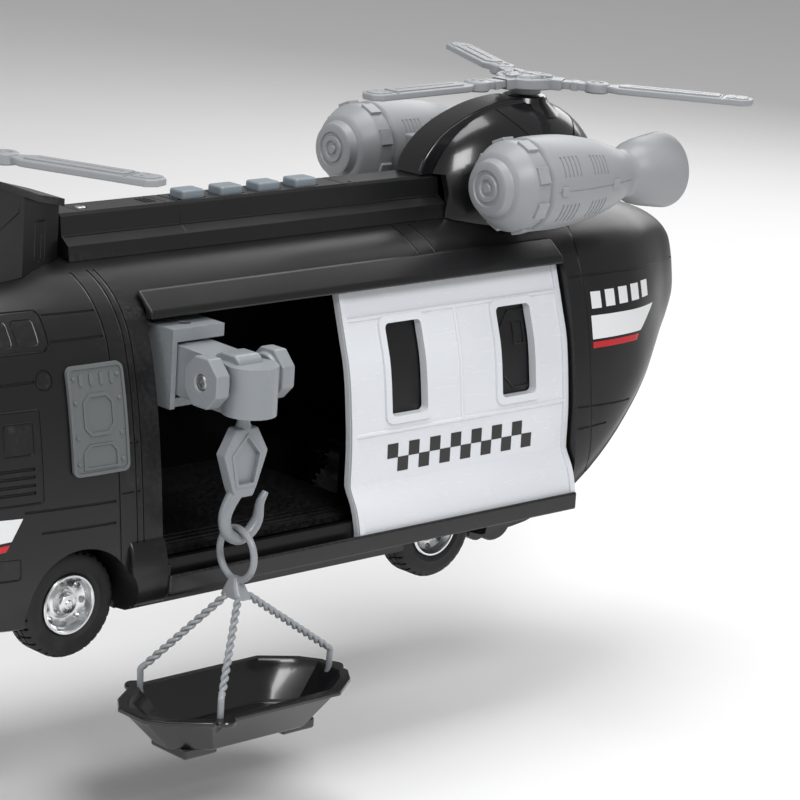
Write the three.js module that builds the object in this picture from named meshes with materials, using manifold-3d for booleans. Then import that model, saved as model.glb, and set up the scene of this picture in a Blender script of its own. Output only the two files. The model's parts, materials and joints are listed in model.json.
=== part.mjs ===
// A toy tandem-rotor helicopter with a sliding cabin door, a winch, a slung tray and friction-drive wheels.
// Millimetres. +X points to the nose, +Y to the door side, +Z up. The origin lies on the underside of the
// chassis plate, midway between the axles.
import * as THREE from "three";
import { mergeVertices } from "three/addons/utils/BufferGeometryUtils.js";
import Module from "manifold-3d";

const wasm = await Module();
wasm.setup();

// ---------- driving dimensions ----------
const BODY_WIDTH = 102; // across the widest part of the hull, just above the belly
const BODY_HEIGHT = 112.4; // chassis underside to roof
const WHEELBASE = 163;
const HULL_REAR = -232; // rearmost point of the tail
const NOSE_SEAM_X = 118;
const NOSE_TIP_X = 157;
const SHELL_WALL = 2.2;
const PIECE_GAP = 0.3; // between parts that are glued or screwed together
const RUN_GAP = 0.08; // radial clearance of a shaft in its hole
const SLIDE_GAP = 0.6; // clearance around sliding and swinging parts

const TYRE_RADIUS = 18;
const TYRE_WIDTH = 12;
const RIM_RADIUS = 10.2;
const WHEEL_FACE_Y = 44; // outer face of each tyre
const AXLE_RADIUS = 1.5;
const AXLE_Z = 5.5;
const ARCH_CLEARANCE = 2.5;
const CHASSIS_THICKNESS = 2.4;

const DOOR_LENGTH = 107;
const DOOR_REST_X = -143; // rear edge of the open door
const DOOR_THICKNESS = 2.4;
const DOOR_WINDOW_WIDTH = 17;
const DOOR_WINDOW_HEIGHT = 32;
const OPENING_FRONT = 48.5;
const OPENING_REAR = -57;
const RAIL_OVERLAP = 0.5; // how far the rails reach past the opening
const RAIL_LIP_WALL = 1.6;
const RAIL_LIP_HEIGHT = 3.3; // how far the lower rail's lip covers the door's foot
const RAIL_FLOOR = 2.6;
const DOORWAY_TOP = 94;
const FLOOR_TOP = 16.5;
const FLOOR_THICKNESS = 2;

const SPINE_HALF_WIDTH = 6.8;
const SPINE_TOP = 126.2;
const SPINE_WALL = 1.6;
const SPINE_FRONT = 63;
const SPINE_REAR = -107;
const BATTERY_DOOR_LENGTH = 36;
const BATTERY_DOOR_WIDTH = 10.6;
const BATTERY_DOOR_THICKNESS = 1.4;
const CELL_DIAMETER = 11.6;
const CELL_HEIGHT = 5.4;
const BUTTON_LENGTH = 10;
const BUTTON_WIDTH = 8;
const BUTTON_RISE = 2.6;
const BUTTON_TRAVEL = 1.2;
const BUTTON_PITCH = 16.9;
const FIRST_BUTTON_X = 4.4;
const BUTTON_COUNT = 4;

const ROTOR_RADIUS = 85;
const HUB_RADIUS = 11;
const HUB_THICKNESS = 4;
const BLADE_PAD_X = 27; // from the mast to the middle of each blade's root pad
const BLADE_CHORD = 10.5;
const BLADE_THICKNESS = 2.4;
const MAST_RADIUS = 2;
const MAST_LENGTH = 26;
const FRONT_MAST = { x: 109, z: 151, turn: 110 };
const REAR_MAST = { x: -155.5, z: 156.5, turn: 124 };

const ENGINE_Y = 41.2;
const ENGINE_Z = 127.7;
const ENGINE_FRONT = -98;
const ENGINE_RADIUS = 17;
const NOZZLE_RADIUS = 14.1;
const NOZZLE_WALL = 1.3;

const WINCH_X = 34.5;
const WINCH_HINGE_Y = 38;
const KNOB_AXIS_Y = 67.5;
const KNOB_AXIS_Z = 81.5;
const KNOB_RADIUS = 9;
const KNOB_LENGTH = 7;
const DRUM_RADIUS = 4.2; // of its flanges
const DRUM_CORE = 2.2;
const LINE_RADIUS = 0.5;
const ARM_WIDTH = 15;
const ARM_TOP = 88;
const ARM_BOTTOM = 70.5;
const LINE_Y = KNOB_AXIS_Y + DRUM_CORE + PIECE_GAP + LINE_RADIUS; // where the hoist line hangs
const STEM_RADIUS = 2.6;
const HOOK_TOP = 65.6;
const RING_RADIUS = 8.7; // to the middle of the ring's round section
const RING_WIRE = 1.15;
const LEG_WIRE = 1.15;
const TRAY_RIM_Z = -23;
const TRAY_DEPTH = 14;
const TRAY_LENGTH = 88;
const TRAY_WIDTH = 43;
const TRAY_Y = 73.5;
const TRAY_WALL = 1.5;

// ---------- finishes ----------
const finish = (color, roughness, metalness = 0) => ({ color, roughness, metalness });
const HULL_BLACK = finish(0x1b1b1c, 0.5);
const GLOSS_BLACK = finish(0x0c0c0d, 0.2);
const DOOR_WHITE = finish(0xf2f3f6, 0.25);
const ROTOR_GREY = finish(0xb9bcc2, 0.45);
const BUTTON_GREY = finish(0x8f9ba5, 0.4);
const TYRE_BLACK = finish(0x151515, 0.85);
const RIM_SILVER = finish(0xc9cccb, 0.25, 0.9);
const STEEL = finish(0xb5b5b8, 0.3, 1);
const SLING_GREY = finish(0x9aa0a5, 0.35, 0.4);
const TRIM_BEIGE = finish(0x9d8f63, 0.7);
const BOARD_GREEN = finish(0x2c6b3f, 0.5);
const DARK_GLASS = finish(0x101216, 0.1);

// ---------- solids ----------
// A closed three.js geometry as a manifold solid, turned right way out if need be.
function solidOf(geometry) {
  const bare = geometry.clone();
  bare.deleteAttribute("normal");
  bare.deleteAttribute("uv");
  const merged = mergeVertices(bare, 1e-4);
  const triVerts = new Uint32Array(merged.index.array);
  const vertProperties = merged.attributes.position.array;
  const made = new wasm.Manifold(new wasm.Mesh({ numProp: 3, vertProperties, triVerts }));
  if (made.volume() > 0) return made;
  for (let i = 0; i < triVerts.length; i += 3) {
    [triVerts[i + 1], triVerts[i + 2]] = [triVerts[i + 2], triVerts[i + 1]];
  }
  return new wasm.Manifold(new wasm.Mesh({ numProp: 3, vertProperties, triVerts }));
}

const joined = (solids) => solids.reduce((whole, piece) => whole.add(piece));
const cutBy = (solid, cutters) => cutters.reduce((rest, cutter) => rest.subtract(cutter), solid);

// A box between two corners.
function box([x0, y0, z0], [x1, y1, z1]) {
  const geometry = new THREE.BoxGeometry(x1 - x0, y1 - y0, z1 - z0);
  return solidOf(geometry.translate((x0 + x1) / 2, (y0 + y1) / 2, (z0 + z1) / 2));
}

const AXES = {
  x: [new THREE.Vector3(0, 1, 0), new THREE.Vector3(0, 0, 1), new THREE.Vector3(1, 0, 0)],
  y: [new THREE.Vector3(0, 0, 1), new THREE.Vector3(1, 0, 0), new THREE.Vector3(0, 1, 0)],
  z: [new THREE.Vector3(1, 0, 0), new THREE.Vector3(0, 1, 0), new THREE.Vector3(0, 0, 1)],
};

// An outline pushed along an axis, from one height to another. The outline's pairs are (y, z) for x,
// (z, x) for y and (x, y) for z.
function prism(axis, outline, from, to) {
  const shape = new THREE.Shape(outline.map(([u, v]) => new THREE.Vector2(u, v)));
  const geometry = new THREE.ExtrudeGeometry(shape, { depth: to - from, bevelEnabled: false });
  geometry.translate(0, 0, from);
  return solidOf(geometry.applyMatrix4(new THREE.Matrix4().makeBasis(...AXES[axis])));
}

// A (radius, height) profile turned about an axis through a point.
function turned(axis, profile, [x, y, z], segments = 24) {
  const points = profile.map(([r, h]) => new THREE.Vector2(r, h));
  const geometry = new THREE.LatheGeometry(points, segments);
  if (axis === "x") geometry.rotateZ(-Math.PI / 2);
  if (axis === "z") geometry.rotateX(Math.PI / 2);
  return solidOf(geometry.translate(x, y, z));
}

// A plain round bar along an axis, from one height to another.
function bar(axis, radius, from, to, centre, segments = 24) {
  return turned(axis, [[0, from], [radius, from], [radius, to], [0, to]], centre, segments);
}

// A solid between a row of closed rings that all have as many points.
function loft(rings) {
  const count = rings[0].length;
  const positions = rings.flat().flatMap((p) => [p.x, p.y, p.z]);
  const index = [];
  for (let i = 0; i + 1 < rings.length; i++) {
    for (let j = 0; j < count; j++) {
      const [a, b] = [i * count + j, i * count + ((j + 1) % count)];
      index.push(a, b, a + count, b, b + count, a + count);
    }
  }
  [0, rings.length - 1].forEach((i) => {
    const middle = positions.length / 3;
    const centre = rings[i].reduce((sum, p) => sum.clone().add(p)).divideScalar(count);
    positions.push(centre.x, centre.y, centre.z);
    for (let j = 0; j < count; j++) {
      const [a, b] = [i * count + j, i * count + ((j + 1) % count)];
      index.push(...(i === 0 ? [b, a, middle] : [a, b, middle]));
    }
  });
  const geometry = new THREE.BufferGeometry();
  geometry.setAttribute("position", new THREE.Float32BufferAttribute(positions, 3));
  return solidOf(geometry.setIndex(index));
}

// A round rod along a smooth curve through points.
function rod(points, radius, steps, sides = 8) {
  const path = new THREE.CatmullRomCurve3(points.map((p) => new THREE.Vector3(...p)));
  const section = new THREE.Shape();
  section.absarc(0, 0, radius, 0, 2 * Math.PI);
  const geometry = new THREE.ExtrudeGeometry(section, {
    steps,
    curveSegments: sides / 2,
    bevelEnabled: false,
    extrudePath: path,
  });
  return solidOf(geometry);
}

// A regular polygon's corners.
function polygon(sides, radius, turnDegrees = 0) {
  return Array.from({ length: sides }, (_, i) => {
    const angle = ((turnDegrees + (360 * i) / sides) * Math.PI) / 180;
    return [radius * Math.cos(angle), radius * Math.sin(angle)];
  });
}

// ---------- the group and its bodies ----------
const helicopter = new THREE.Group();
helicopter.name = "toy_helicopter";

function addPart(name, solid, look, parent = helicopter) {
  const made = solid.getMesh();
  const geometry = new THREE.BufferGeometry();
  const positions = new Float32Array(made.numVert * 3);
  for (let i = 0; i < made.numVert; i++) {
    positions.set(made.vertProperties.subarray(i * made.numProp, i * made.numProp + 3), i * 3);
  }
  geometry.setAttribute("position", new THREE.BufferAttribute(positions, 3));
  geometry.setIndex(new THREE.BufferAttribute(made.triVerts, 1));
  const mesh = new THREE.Mesh(geometry, new THREE.MeshStandardMaterial(look));
  mesh.name = name;
  parent.add(mesh);
  return mesh;
}

// ---------- hull ----------
// Half of the hull's section, roof to belly, as (share of half width, share of height).
const SECTION = new THREE.SplineCurve(
  [
    [0, 1], [0.275, 0.985], [0.53, 0.933], [0.715, 0.845], [0.82, 0.72], [0.91, 0.525],
    [0.97, 0.31], [1, 0.14], [0.97, 0.045], [0.86, 0.007], [0, 0],
  ].map(([u, v]) => new THREE.Vector2(u, v)),
);
const SECTION_STEPS = 15;
const HALF_SECTION = SECTION.getSpacedPoints(SECTION_STEPS).map((p, i) => {
  if (i === 0 || i === SECTION_STEPS) p.x = 0;
  return p;
});

// The hull's stations: place along it, share of full width, roof height and belly height.
const TAIL_STATIONS = [
  [0, 0.1, 87, 82], [1.6, 0.24, 94, 77], [5, 0.345, 99, 71], [11, 0.43, 103, 65.5],
  [19, 0.525, 106, 60], [29, 0.655, 108.5, 53.5], [39, 0.775, 110.2, 46.5], [51, 0.885, 111.2, 38],
  [67, 0.965, 112, 25], [84, 1, BODY_HEIGHT, 13], [104, 1, BODY_HEIGHT, 3], [124, 1, BODY_HEIGHT, 0],
].map(([fromRear, ...rest]) => [HULL_REAR + fromRear, ...rest]);
const FRONT_STATIONS = [
  [NOSE_SEAM_X - 53, 1, BODY_HEIGHT, 0], [NOSE_SEAM_X - 33, 0.985, BODY_HEIGHT, 0],
  [NOSE_SEAM_X - 13, 0.95, BODY_HEIGHT - 1, 0], [NOSE_SEAM_X, 0.91, BODY_HEIGHT - 3.4, 0.8],
];
const NOSE_STATIONS = [
  [39, 0.91, BODY_HEIGHT - 3.4, 0.8], [30, 0.87, 103, 1.5], [21, 0.8, 94, 3.5], [13, 0.71, 83, 7],
  [7, 0.6, 72, 11.5], [3, 0.47, 62.5, 17], [0.8, 0.33, 55, 22], [0, 0.2, 49, 27],
].map(([fromTip, ...rest]) => [NOSE_TIP_X - fromTip, ...rest]);

// One closed ring of the hull at a station, drawn in by a wall.
function hullRing([x, width, roof, belly], inset = 0) {
  const half = HALF_SECTION.map((p) => {
    return new THREE.Vector2((p.x * width * BODY_WIDTH) / 2, belly + p.y * (roof - belly));
  });
  const drawnIn = half.map((p, i) => {
    const along = half[Math.min(i + 1, half.length - 1)].clone().sub(half[Math.max(i - 1, 0)]);
    const inward = new THREE.Vector2(along.y, -along.x).normalize().multiplyScalar(inset);
    const moved = p.clone().add(inward);
    if (i === 0 || i === half.length - 1) moved.x = 0;
    return moved;
  });
  const port = drawnIn.map((p) => new THREE.Vector3(x, p.x, p.y));
  const starboard = drawnIn.slice(1, -1).reverse().map((p) => new THREE.Vector3(x, -p.x, p.y));
  return [...port, ...starboard];
}

const hullStations = [...TAIL_STATIONS, ...FRONT_STATIONS];
const hullOuter = loft(hullStations.map((station) => hullRing(station)));
const cavityStations = hullStations.slice(2).map(([x, ...rest]) => [x + SHELL_WALL, ...rest]);
const hullCavity = loft(cavityStations.map((station) => hullRing(station, SHELL_WALL)));

// ---------- door profile: (y, z) up the outside of the door ----------
const DOOR_OUTSIDE = [
  [52.7, 9.6], [52.4, 13.5], [50.2, 21], [46.6, 27.2], [46, 30], [45.8, 41], [44.8, 52],
  [42.4, 68], [38.7, 80], [33.6, 95.6], [32.6, 98],
];
const inFrom = (outline, depth) => outline.map(([y, z]) => [y - depth, z]);
const band = (outline, depthOut, depthIn) => [
  ...inFrom(outline, depthOut),
  ...inFrom(outline, depthIn).reverse(),
];
const OUTSIDE_WORLD = 30; // far enough out to clear the hull
const BAY_DEPTH = DOOR_THICKNESS + SLIDE_GAP;
const [DOOR_FOOT_Y, DOOR_FOOT_Z] = DOOR_OUTSIDE[0];
const RAIL_INNER_Y = DOOR_FOOT_Y - BAY_DEPTH + PIECE_GAP;
const RAIL_OUTER_Y = DOOR_FOOT_Y + SLIDE_GAP + RAIL_LIP_WALL;
const RAIL_BASE_Z = DOOR_FOOT_Z - SLIDE_GAP - RAIL_FLOOR;
const RAIL_LIP_Z = DOOR_FOOT_Z + RAIL_LIP_HEIGHT;
const bayOutline = DOOR_OUTSIDE.map(([y, z], i) => {
  if (i === 0) return [y, RAIL_BASE_Z - PIECE_GAP];
  if (i === DOOR_OUTSIDE.length - 1) return [y, z + SLIDE_GAP];
  return [y, z];
});
const doorFront = DOOR_REST_X + DOOR_LENGTH;
const bayRear = DOOR_REST_X - 1;
const bayCut = prism("x", band(bayOutline, -OUTSIDE_WORLD, BAY_DEPTH), bayRear, OPENING_FRONT);
const bayWall = prism(
  "x",
  band(bayOutline, -OUTSIDE_WORLD, BAY_DEPTH + SHELL_WALL),
  bayRear - SHELL_WALL,
  OPENING_FRONT + SHELL_WALL,
);
const doorwayCut = box([OPENING_REAR, 20, FLOOR_TOP], [OPENING_FRONT + 1, 90, DOORWAY_TOP]);

function wheelArch(x, side) {
  const radius = TYRE_RADIUS + ARCH_CLEARANCE;
  const inner = side * (WHEEL_FACE_Y - TYRE_WIDTH - ARCH_CLEARANCE);
  const outer = side * (BODY_WIDTH / 2 + 4);
  return bar("y", radius, Math.min(inner, outer), Math.max(inner, outer), [x, 0, AXLE_Z], 28);
}
const axleStations = [WHEELBASE / 2, -WHEELBASE / 2];
const arches = axleStations.flatMap((x) => [wheelArch(x, 1), wheelArch(x, -1)]);

const CHASSIS_HALF_WIDTH = 0.8 * (BODY_WIDTH / 2);
const CHASSIS_FRONT = NOSE_SEAM_X - 4;
const CHASSIS_REAR = -WHEELBASE / 2 - 36;
const chassisWell = box(
  [CHASSIS_REAR - PIECE_GAP, -CHASSIS_HALF_WIDTH - PIECE_GAP, -1],
  [CHASSIS_FRONT + PIECE_GAP, CHASSIS_HALF_WIDTH + PIECE_GAP, CHASSIS_THICKNESS + PIECE_GAP],
);

// Openings in the roof under the spine, where its boss and the cells pass.
const roofSlot = box(
  [SPINE_REAR + 12, -SPINE_HALF_WIDTH + SPINE_WALL, BODY_HEIGHT - 8],
  [SPINE_FRONT - 6, SPINE_HALF_WIDTH - SPINE_WALL, BODY_HEIGHT + 4],
);
const mastHoles = [FRONT_MAST, REAR_MAST].map(({ x }) => {
  return bar("z", MAST_RADIUS + PIECE_GAP, BODY_HEIGHT - 12, BODY_HEIGHT + 4, [x, 0, 0], 12);
});

// A bulge over each side's lower edge, between the front wheel and the doorway.
const bulges = [1, -1].map((side) => {
  const outline = [[43, 2.5], [52, 4.5], [54, 11], [53.4, 20], [50, 26], [43, 28]];
  const section = outline.map(([y, z]) => [side * y, z]);
  return prism("x", section, OPENING_FRONT + 0.6, WHEELBASE / 2 - TYRE_RADIUS);
});

const hullShell = cutBy(joined([hullOuter, ...bulges]), [
  hullCavity.subtract(bayWall), bayCut, doorwayCut, ...arches, chassisWell, roofSlot, ...mastHoles,
]);
const largest = (solid) => solid.decompose().reduce((a, b) => (a.volume() > b.volume() ? a : b));
const half = (side) => {
  const near = (side * PIECE_GAP) / 2;
  const far = side * 90;
  const lows = [HULL_REAR - 5, Math.min(near, far), -5];
  const highs = [NOSE_SEAM_X - PIECE_GAP, Math.max(near, far), BODY_HEIGHT + 5];
  return largest(hullShell.intersect(box(lows, highs)));
};
addPart("fuselage_port_shell", half(1), HULL_BLACK);
addPart("fuselage_starboard_shell", half(-1), HULL_BLACK);

// ---------- nose ----------
const noseOuter = loft(NOSE_STATIONS.map((station) => hullRing(station)));
const noseCavity = loft(
  NOSE_STATIONS.slice(0, -2).map(([x, ...rest], i) => {
    return hullRing([i ? x - SHELL_WALL : x - 1, ...rest], SHELL_WALL);
  }),
);
const WINDSCREEN = { x0: NOSE_SEAM_X + 3, x1: NOSE_TIP_X - 9, halfWidth: 33, z0: 66 };
const glazed = box(
  [WINDSCREEN.x0, -WINDSCREEN.halfWidth, WINDSCREEN.z0],
  [WINDSCREEN.x1, WINDSCREEN.halfWidth, BODY_HEIGHT + 5],
);
const frameOpening = box(
  [WINDSCREEN.x0 - PIECE_GAP, -WINDSCREEN.halfWidth - PIECE_GAP, WINDSCREEN.z0 - PIECE_GAP],
  [WINDSCREEN.x1 + PIECE_GAP, WINDSCREEN.halfWidth + PIECE_GAP, BODY_HEIGHT + 6],
);
addPart("nose_shell", largest(cutBy(noseOuter, [noseCavity, frameOpening])), HULL_BLACK);
addPart("windscreen", largest(noseOuter.intersect(glazed).subtract(noseCavity)), DARK_GLASS);

// ---------- chassis, axles and wheels ----------
const SADDLE_Y = [-26, 22];
const SADDLE_WIDTH = 4;
const SADDLE_TOP = AXLE_Z + AXLE_RADIUS + 2;
const wheelNotch = (x, side) => {
  const [a, b] = [side * (WHEEL_FACE_Y - TYRE_WIDTH - ARCH_CLEARANCE), side * BODY_WIDTH];
  const reach = TYRE_RADIUS + ARCH_CLEARANCE;
  return box([x - reach, Math.min(a, b), -3], [x + reach, Math.max(a, b), 12]);
};
const saddles = axleStations.flatMap((x) => {
  return SADDLE_Y.map((y) => box([x - 3.5, y, 1], [x + 3.5, y + SADDLE_WIDTH, SADDLE_TOP]));
});
const axleBores = axleStations.map((x) => {
  return bar("y", AXLE_RADIUS + RUN_GAP, -40, 40, [x, 0, AXLE_Z], 16);
});
const GEAR_Y = -12;
const driveSlot = box(
  [-WHEELBASE / 2 - 11, GEAR_Y - 3, -1],
  [-WHEELBASE / 2 + 11, GEAR_Y + 3, CHASSIS_THICKNESS + 1],
);
const TAIL_SKID_X = -106;
const tailSkid = bar("y", 5, 34, CHASSIS_HALF_WIDTH, [TAIL_SKID_X, 0, 1.5], 16);
const chassisPlate = box(
  [CHASSIS_REAR, -CHASSIS_HALF_WIDTH, 0],
  [CHASSIS_FRONT, CHASSIS_HALF_WIDTH, CHASSIS_THICKNESS],
);
const skidRoom = box([TAIL_SKID_X - 6, 30, CHASSIS_THICKNESS], [TAIL_SKID_X + 6, BODY_WIDTH, 12]);
addPart(
  "chassis_plate",
  cutBy(joined([chassisPlate, ...saddles, tailSkid.subtract(skidRoom)]), [
    ...axleStations.flatMap((x) => [wheelNotch(x, 1), wheelNotch(x, -1)]),
    ...axleBores,
    driveSlot,
  ]),
  HULL_BLACK,
);

const TYRE_SHOULDER = 2;
const RIM_GAP = 0.1;
function wheel(group, place, x, side) {
  const face = WHEEL_FACE_Y;
  const back = WHEEL_FACE_Y - TYRE_WIDTH;
  const tyreProfile = [
    [RIM_RADIUS + RIM_GAP, back + 1],
    [TYRE_RADIUS - TYRE_SHOULDER, back],
    [TYRE_RADIUS, back + TYRE_SHOULDER],
    [TYRE_RADIUS, face - TYRE_SHOULDER],
    [TYRE_RADIUS - TYRE_SHOULDER, face],
    [RIM_RADIUS + RIM_GAP, face - 1],
    [RIM_RADIUS + RIM_GAP, back + 1],
  ];
  const bore = AXLE_RADIUS + RIM_GAP;
  const rimProfile = [
    [bore, back + 2],
    [RIM_RADIUS, back + 2],
    [RIM_RADIUS, face - 0.4],
    [RIM_RADIUS - 1.2, face - 0.4],
    [RIM_RADIUS - 1.8, face - 4.5],
    [4, face - 4.5],
    [3.4, face - 1.6],
    [bore, face - 1.2],
    [bore, back + 2],
  ];
  const mirrored = (profile) => profile.map(([r, h]) => [r, side * h]);
  addPart("tyre_" + place, turned("y", mirrored(tyreProfile), [x, 0, AXLE_Z], 28), TYRE_BLACK, group);
  addPart("rim_" + place, turned("y", mirrored(rimProfile), [x, 0, AXLE_Z], 20), RIM_SILVER, group);
}
const AXLE_END_Y = WHEEL_FACE_Y - 2;
const wheelsets = axleStations.map((x, i) => {
  const set = new THREE.Group();
  const place = i === 0 ? "front" : "rear";
  helicopter.add(set);
  addPart("axle_" + place, bar("y", AXLE_RADIUS, -AXLE_END_Y, AXLE_END_Y, [x, 0, AXLE_Z], 16), STEEL, set);
  wheel(set, place + "_port", x, 1);
  wheel(set, place + "_starboard", x, -1);
  return set;
});

// The drive gear on the rear axle turns the flywheel through one pair of spur gears.
const GEAR_MODULE = 0.8;
const DRIVE_TEETH = 24;
const PINION_TEETH = 8;
const GEAR_WIDTH = 3;
const GEAR_CENTRES = (GEAR_MODULE * (DRIVE_TEETH + PINION_TEETH)) / 2 + 0.15;
function spurGear(teeth, boreRadius, width, [x, y, z], turnDegrees) {
  const pitch = (GEAR_MODULE * teeth) / 2;
  const root = pitch - 1.25 * GEAR_MODULE;
  const tip = pitch + 0.9 * GEAR_MODULE;
  const outline = [];
  for (let i = 0; i < teeth; i++) {
    [[root, -0.33], [tip, -0.1], [tip, 0.1], [root, 0.33]].forEach(([radius, share]) => {
      const angle = ((turnDegrees + (360 * (i + share)) / teeth) * Math.PI) / 180;
      outline.push([z + radius * Math.cos(angle), x + radius * Math.sin(angle)]);
    });
  }
  const blank = prism("y", outline, y - width / 2, y + width / 2);
  return blank.subtract(bar("y", boreRadius, y - width, y + width, [x, 0, z], 12));
}
const driveAxle = [-WHEELBASE / 2, GEAR_Y, AXLE_Z];
const flywheelAxle = [-WHEELBASE / 2, GEAR_Y, AXLE_Z + GEAR_CENTRES];
addPart(
  "drive_gear",
  spurGear(DRIVE_TEETH, AXLE_RADIUS + RIM_GAP, GEAR_WIDTH, driveAxle, 0),
  ROTOR_GREY,
  wheelsets[1],
);
const FLYWHEEL_RADIUS = 8;
const FLYWHEEL_SHAFT = 1;
const flywheelGroup = new THREE.Group();
helicopter.add(flywheelGroup);
addPart(
  "flywheel",
  joined([
    spurGear(PINION_TEETH, 0.5, GEAR_WIDTH, flywheelAxle, 180 / PINION_TEETH),
    bar("y", FLYWHEEL_SHAFT, GEAR_Y - 5, GEAR_Y + 17, [flywheelAxle[0], 0, flywheelAxle[2]], 12),
    bar("y", FLYWHEEL_RADIUS, GEAR_Y + 5, GEAR_Y + 11, [flywheelAxle[0], 0, flywheelAxle[2]], 20),
  ]),
  STEEL,
  flywheelGroup,
);
// Two cheeks carry the flywheel's shaft, tied together over the top.
const MOTOR_TOP = flywheelAxle[2] + FLYWHEEL_RADIUS + 3;
const motorCheeks = [GEAR_Y - 4.5, GEAR_Y + 13.5].map((y) => {
  return box([driveAxle[0] - 10, y, CHASSIS_THICKNESS + PIECE_GAP], [driveAxle[0] + 10, y + 2, MOTOR_TOP]);
});
addPart(
  "friction_motor_frame",
  joined([
    ...motorCheeks,
    box([driveAxle[0] - 10, GEAR_Y - 4.5, MOTOR_TOP - 1.5], [driveAxle[0] + 10, GEAR_Y + 15.5, MOTOR_TOP]),
  ])
    .subtract(bar("y", FLYWHEEL_SHAFT + RUN_GAP, -40, 40, [flywheelAxle[0], 0, flywheelAxle[2]], 12))
    .subtract(bar("y", AXLE_RADIUS + 0.5, -40, 40, [driveAxle[0], 0, AXLE_Z], 16)),
  GLOSS_BLACK,
);

// ---------- cabin ----------
const CABIN_HALF_WIDTH = 38;
addPart(
  "cabin_floor",
  box(
    [OPENING_REAR + 2, -CABIN_HALF_WIDTH, FLOOR_TOP - FLOOR_THICKNESS],
    [OPENING_FRONT - 2, CABIN_HALF_WIDTH + 2, FLOOR_TOP],
  ),
  HULL_BLACK,
);
addPart(
  "cabin_front_wall",
  prism("x", [
    [-34, FLOOR_TOP + PIECE_GAP], [36, FLOOR_TOP + PIECE_GAP], [34, 60], [28, 80], [-28, 80], [-34, 60],
  ], OPENING_FRONT + 3.5, OPENING_FRONT + 5.5),
  TRIM_BEIGE,
);

// ---------- door and its rails ----------
const RAIL_REAR = DOOR_REST_X + RAIL_OVERLAP;
const RAIL_FRONT = OPENING_FRONT + RAIL_OVERLAP;
const railProfileUpper = [
  [29.6, 104], [32.2, 103.6], [38.8, 98.4], [39.3, 95.9], [35.9, 95.6], [35.6, 97.6], [35.3, 98.6],
];
addPart("door_rail_upper", prism("x", railProfileUpper, RAIL_REAR, RAIL_FRONT), HULL_BLACK);
const railProfileLower = [
  [RAIL_INNER_Y, RAIL_BASE_Z], [RAIL_OUTER_Y, RAIL_BASE_Z], [RAIL_OUTER_Y, RAIL_LIP_Z],
  [DOOR_FOOT_Y + SLIDE_GAP, RAIL_LIP_Z], [DOOR_FOOT_Y + SLIDE_GAP, DOOR_FOOT_Z - SLIDE_GAP],
  [RAIL_INNER_Y, DOOR_FOOT_Z - SLIDE_GAP],
];
addPart("door_rail_lower", prism("x", railProfileLower, RAIL_REAR, RAIL_FRONT), HULL_BLACK);

const doorSlab = prism("x", band(DOOR_OUTSIDE, 0, DOOR_THICKNESS), DOOR_REST_X, doorFront);
const DOOR_WINDOW_Z = 67;
const doorWindows = [doorFront - 27.5, DOOR_REST_X + 25.5].map((x) => {
  const w = DOOR_WINDOW_WIDTH / 2;
  const h = DOOR_WINDOW_HEIGHT / 2;
  const corner = 3;
  const outline = [
    [-h, -w + corner], [-h, w - corner], [-h + corner, w], [h - corner, w],
    [h, w - corner], [h, -w + corner], [h - corner, -w], [-h + corner, -w],
  ].map(([z, along]) => [DOOR_WINDOW_Z + z, x + along]);
  return prism("y", outline, 20, 70);
});
const doorGroup = new THREE.Group();
helicopter.add(doorGroup);
addPart("sliding_door", cutBy(doorSlab, doorWindows), DOOR_WHITE, doorGroup);

// ---------- roof spine, battery compartment and buttons ----------
const SPINE_BASE = 111.2; // lower edge of the spine's side steps
const SPINE_SHOULDER = 117;
const spineOutline = [
  [-12.5, SPINE_BASE], [-11.6, SPINE_SHOULDER - 0.8], [-8.4, SPINE_SHOULDER + 1.4], [-7.6, SPINE_SHOULDER + 2],
  [-SPINE_HALF_WIDTH, SPINE_TOP - 1], [-SPINE_HALF_WIDTH + 1, SPINE_TOP],
];
const mirroredOutline = (outline) => [...outline, ...outline.map(([u, v]) => [-u, v]).reverse()];
const spineSolid = prism("x", mirroredOutline(spineOutline), SPINE_REAR, SPINE_FRONT);
const hullAndGap = loft(
  hullStations.map(([x, w, roof, belly]) => hullRing([x, w, roof + PIECE_GAP, belly])),
);
const batteryDoorRear = 18;
const BATTERY_DOOR_BASE = SPINE_TOP - BATTERY_DOOR_THICKNESS;
const batteryDoorFront = batteryDoorRear + BATTERY_DOOR_LENGTH;
const SCREW_X = batteryDoorFront - 4;
const SCREW_HEAD_RADIUS = 2;
const SCREW_SHANK_RADIUS = 0.8;
const LEDGE = 1.3; // what the battery door rests on
// The spine is hollow and open underneath, up to the solid block that takes the battery door's screw.
const spineHollow = box(
  [SPINE_REAR + 4, -SPINE_HALF_WIDTH + SPINE_WALL, BODY_HEIGHT - 2],
  [SCREW_X - 3, SPINE_HALF_WIDTH - SPINE_WALL, SPINE_TOP - BATTERY_DOOR_THICKNESS - 0.8],
);
const cellMouth = box(
  [batteryDoorRear + LEDGE, -BATTERY_DOOR_WIDTH / 2 + LEDGE, BODY_HEIGHT],
  [SCREW_X - 3, BATTERY_DOOR_WIDTH / 2 - LEDGE, SPINE_TOP + 1],
);
const screwBore = bar("z", SCREW_SHANK_RADIUS + PIECE_GAP, 100, SPINE_TOP + 1, [SCREW_X, 0, 0], 12);
const batteryMouth = box(
  [batteryDoorRear - PIECE_GAP, -BATTERY_DOOR_WIDTH / 2 - PIECE_GAP, BATTERY_DOOR_BASE],
  [batteryDoorFront + PIECE_GAP, BATTERY_DOOR_WIDTH / 2 + PIECE_GAP, SPINE_TOP + 2],
);
const buttonPlaces = Array.from({ length: BUTTON_COUNT }, (_, i) => FIRST_BUTTON_X - i * BUTTON_PITCH);
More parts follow.
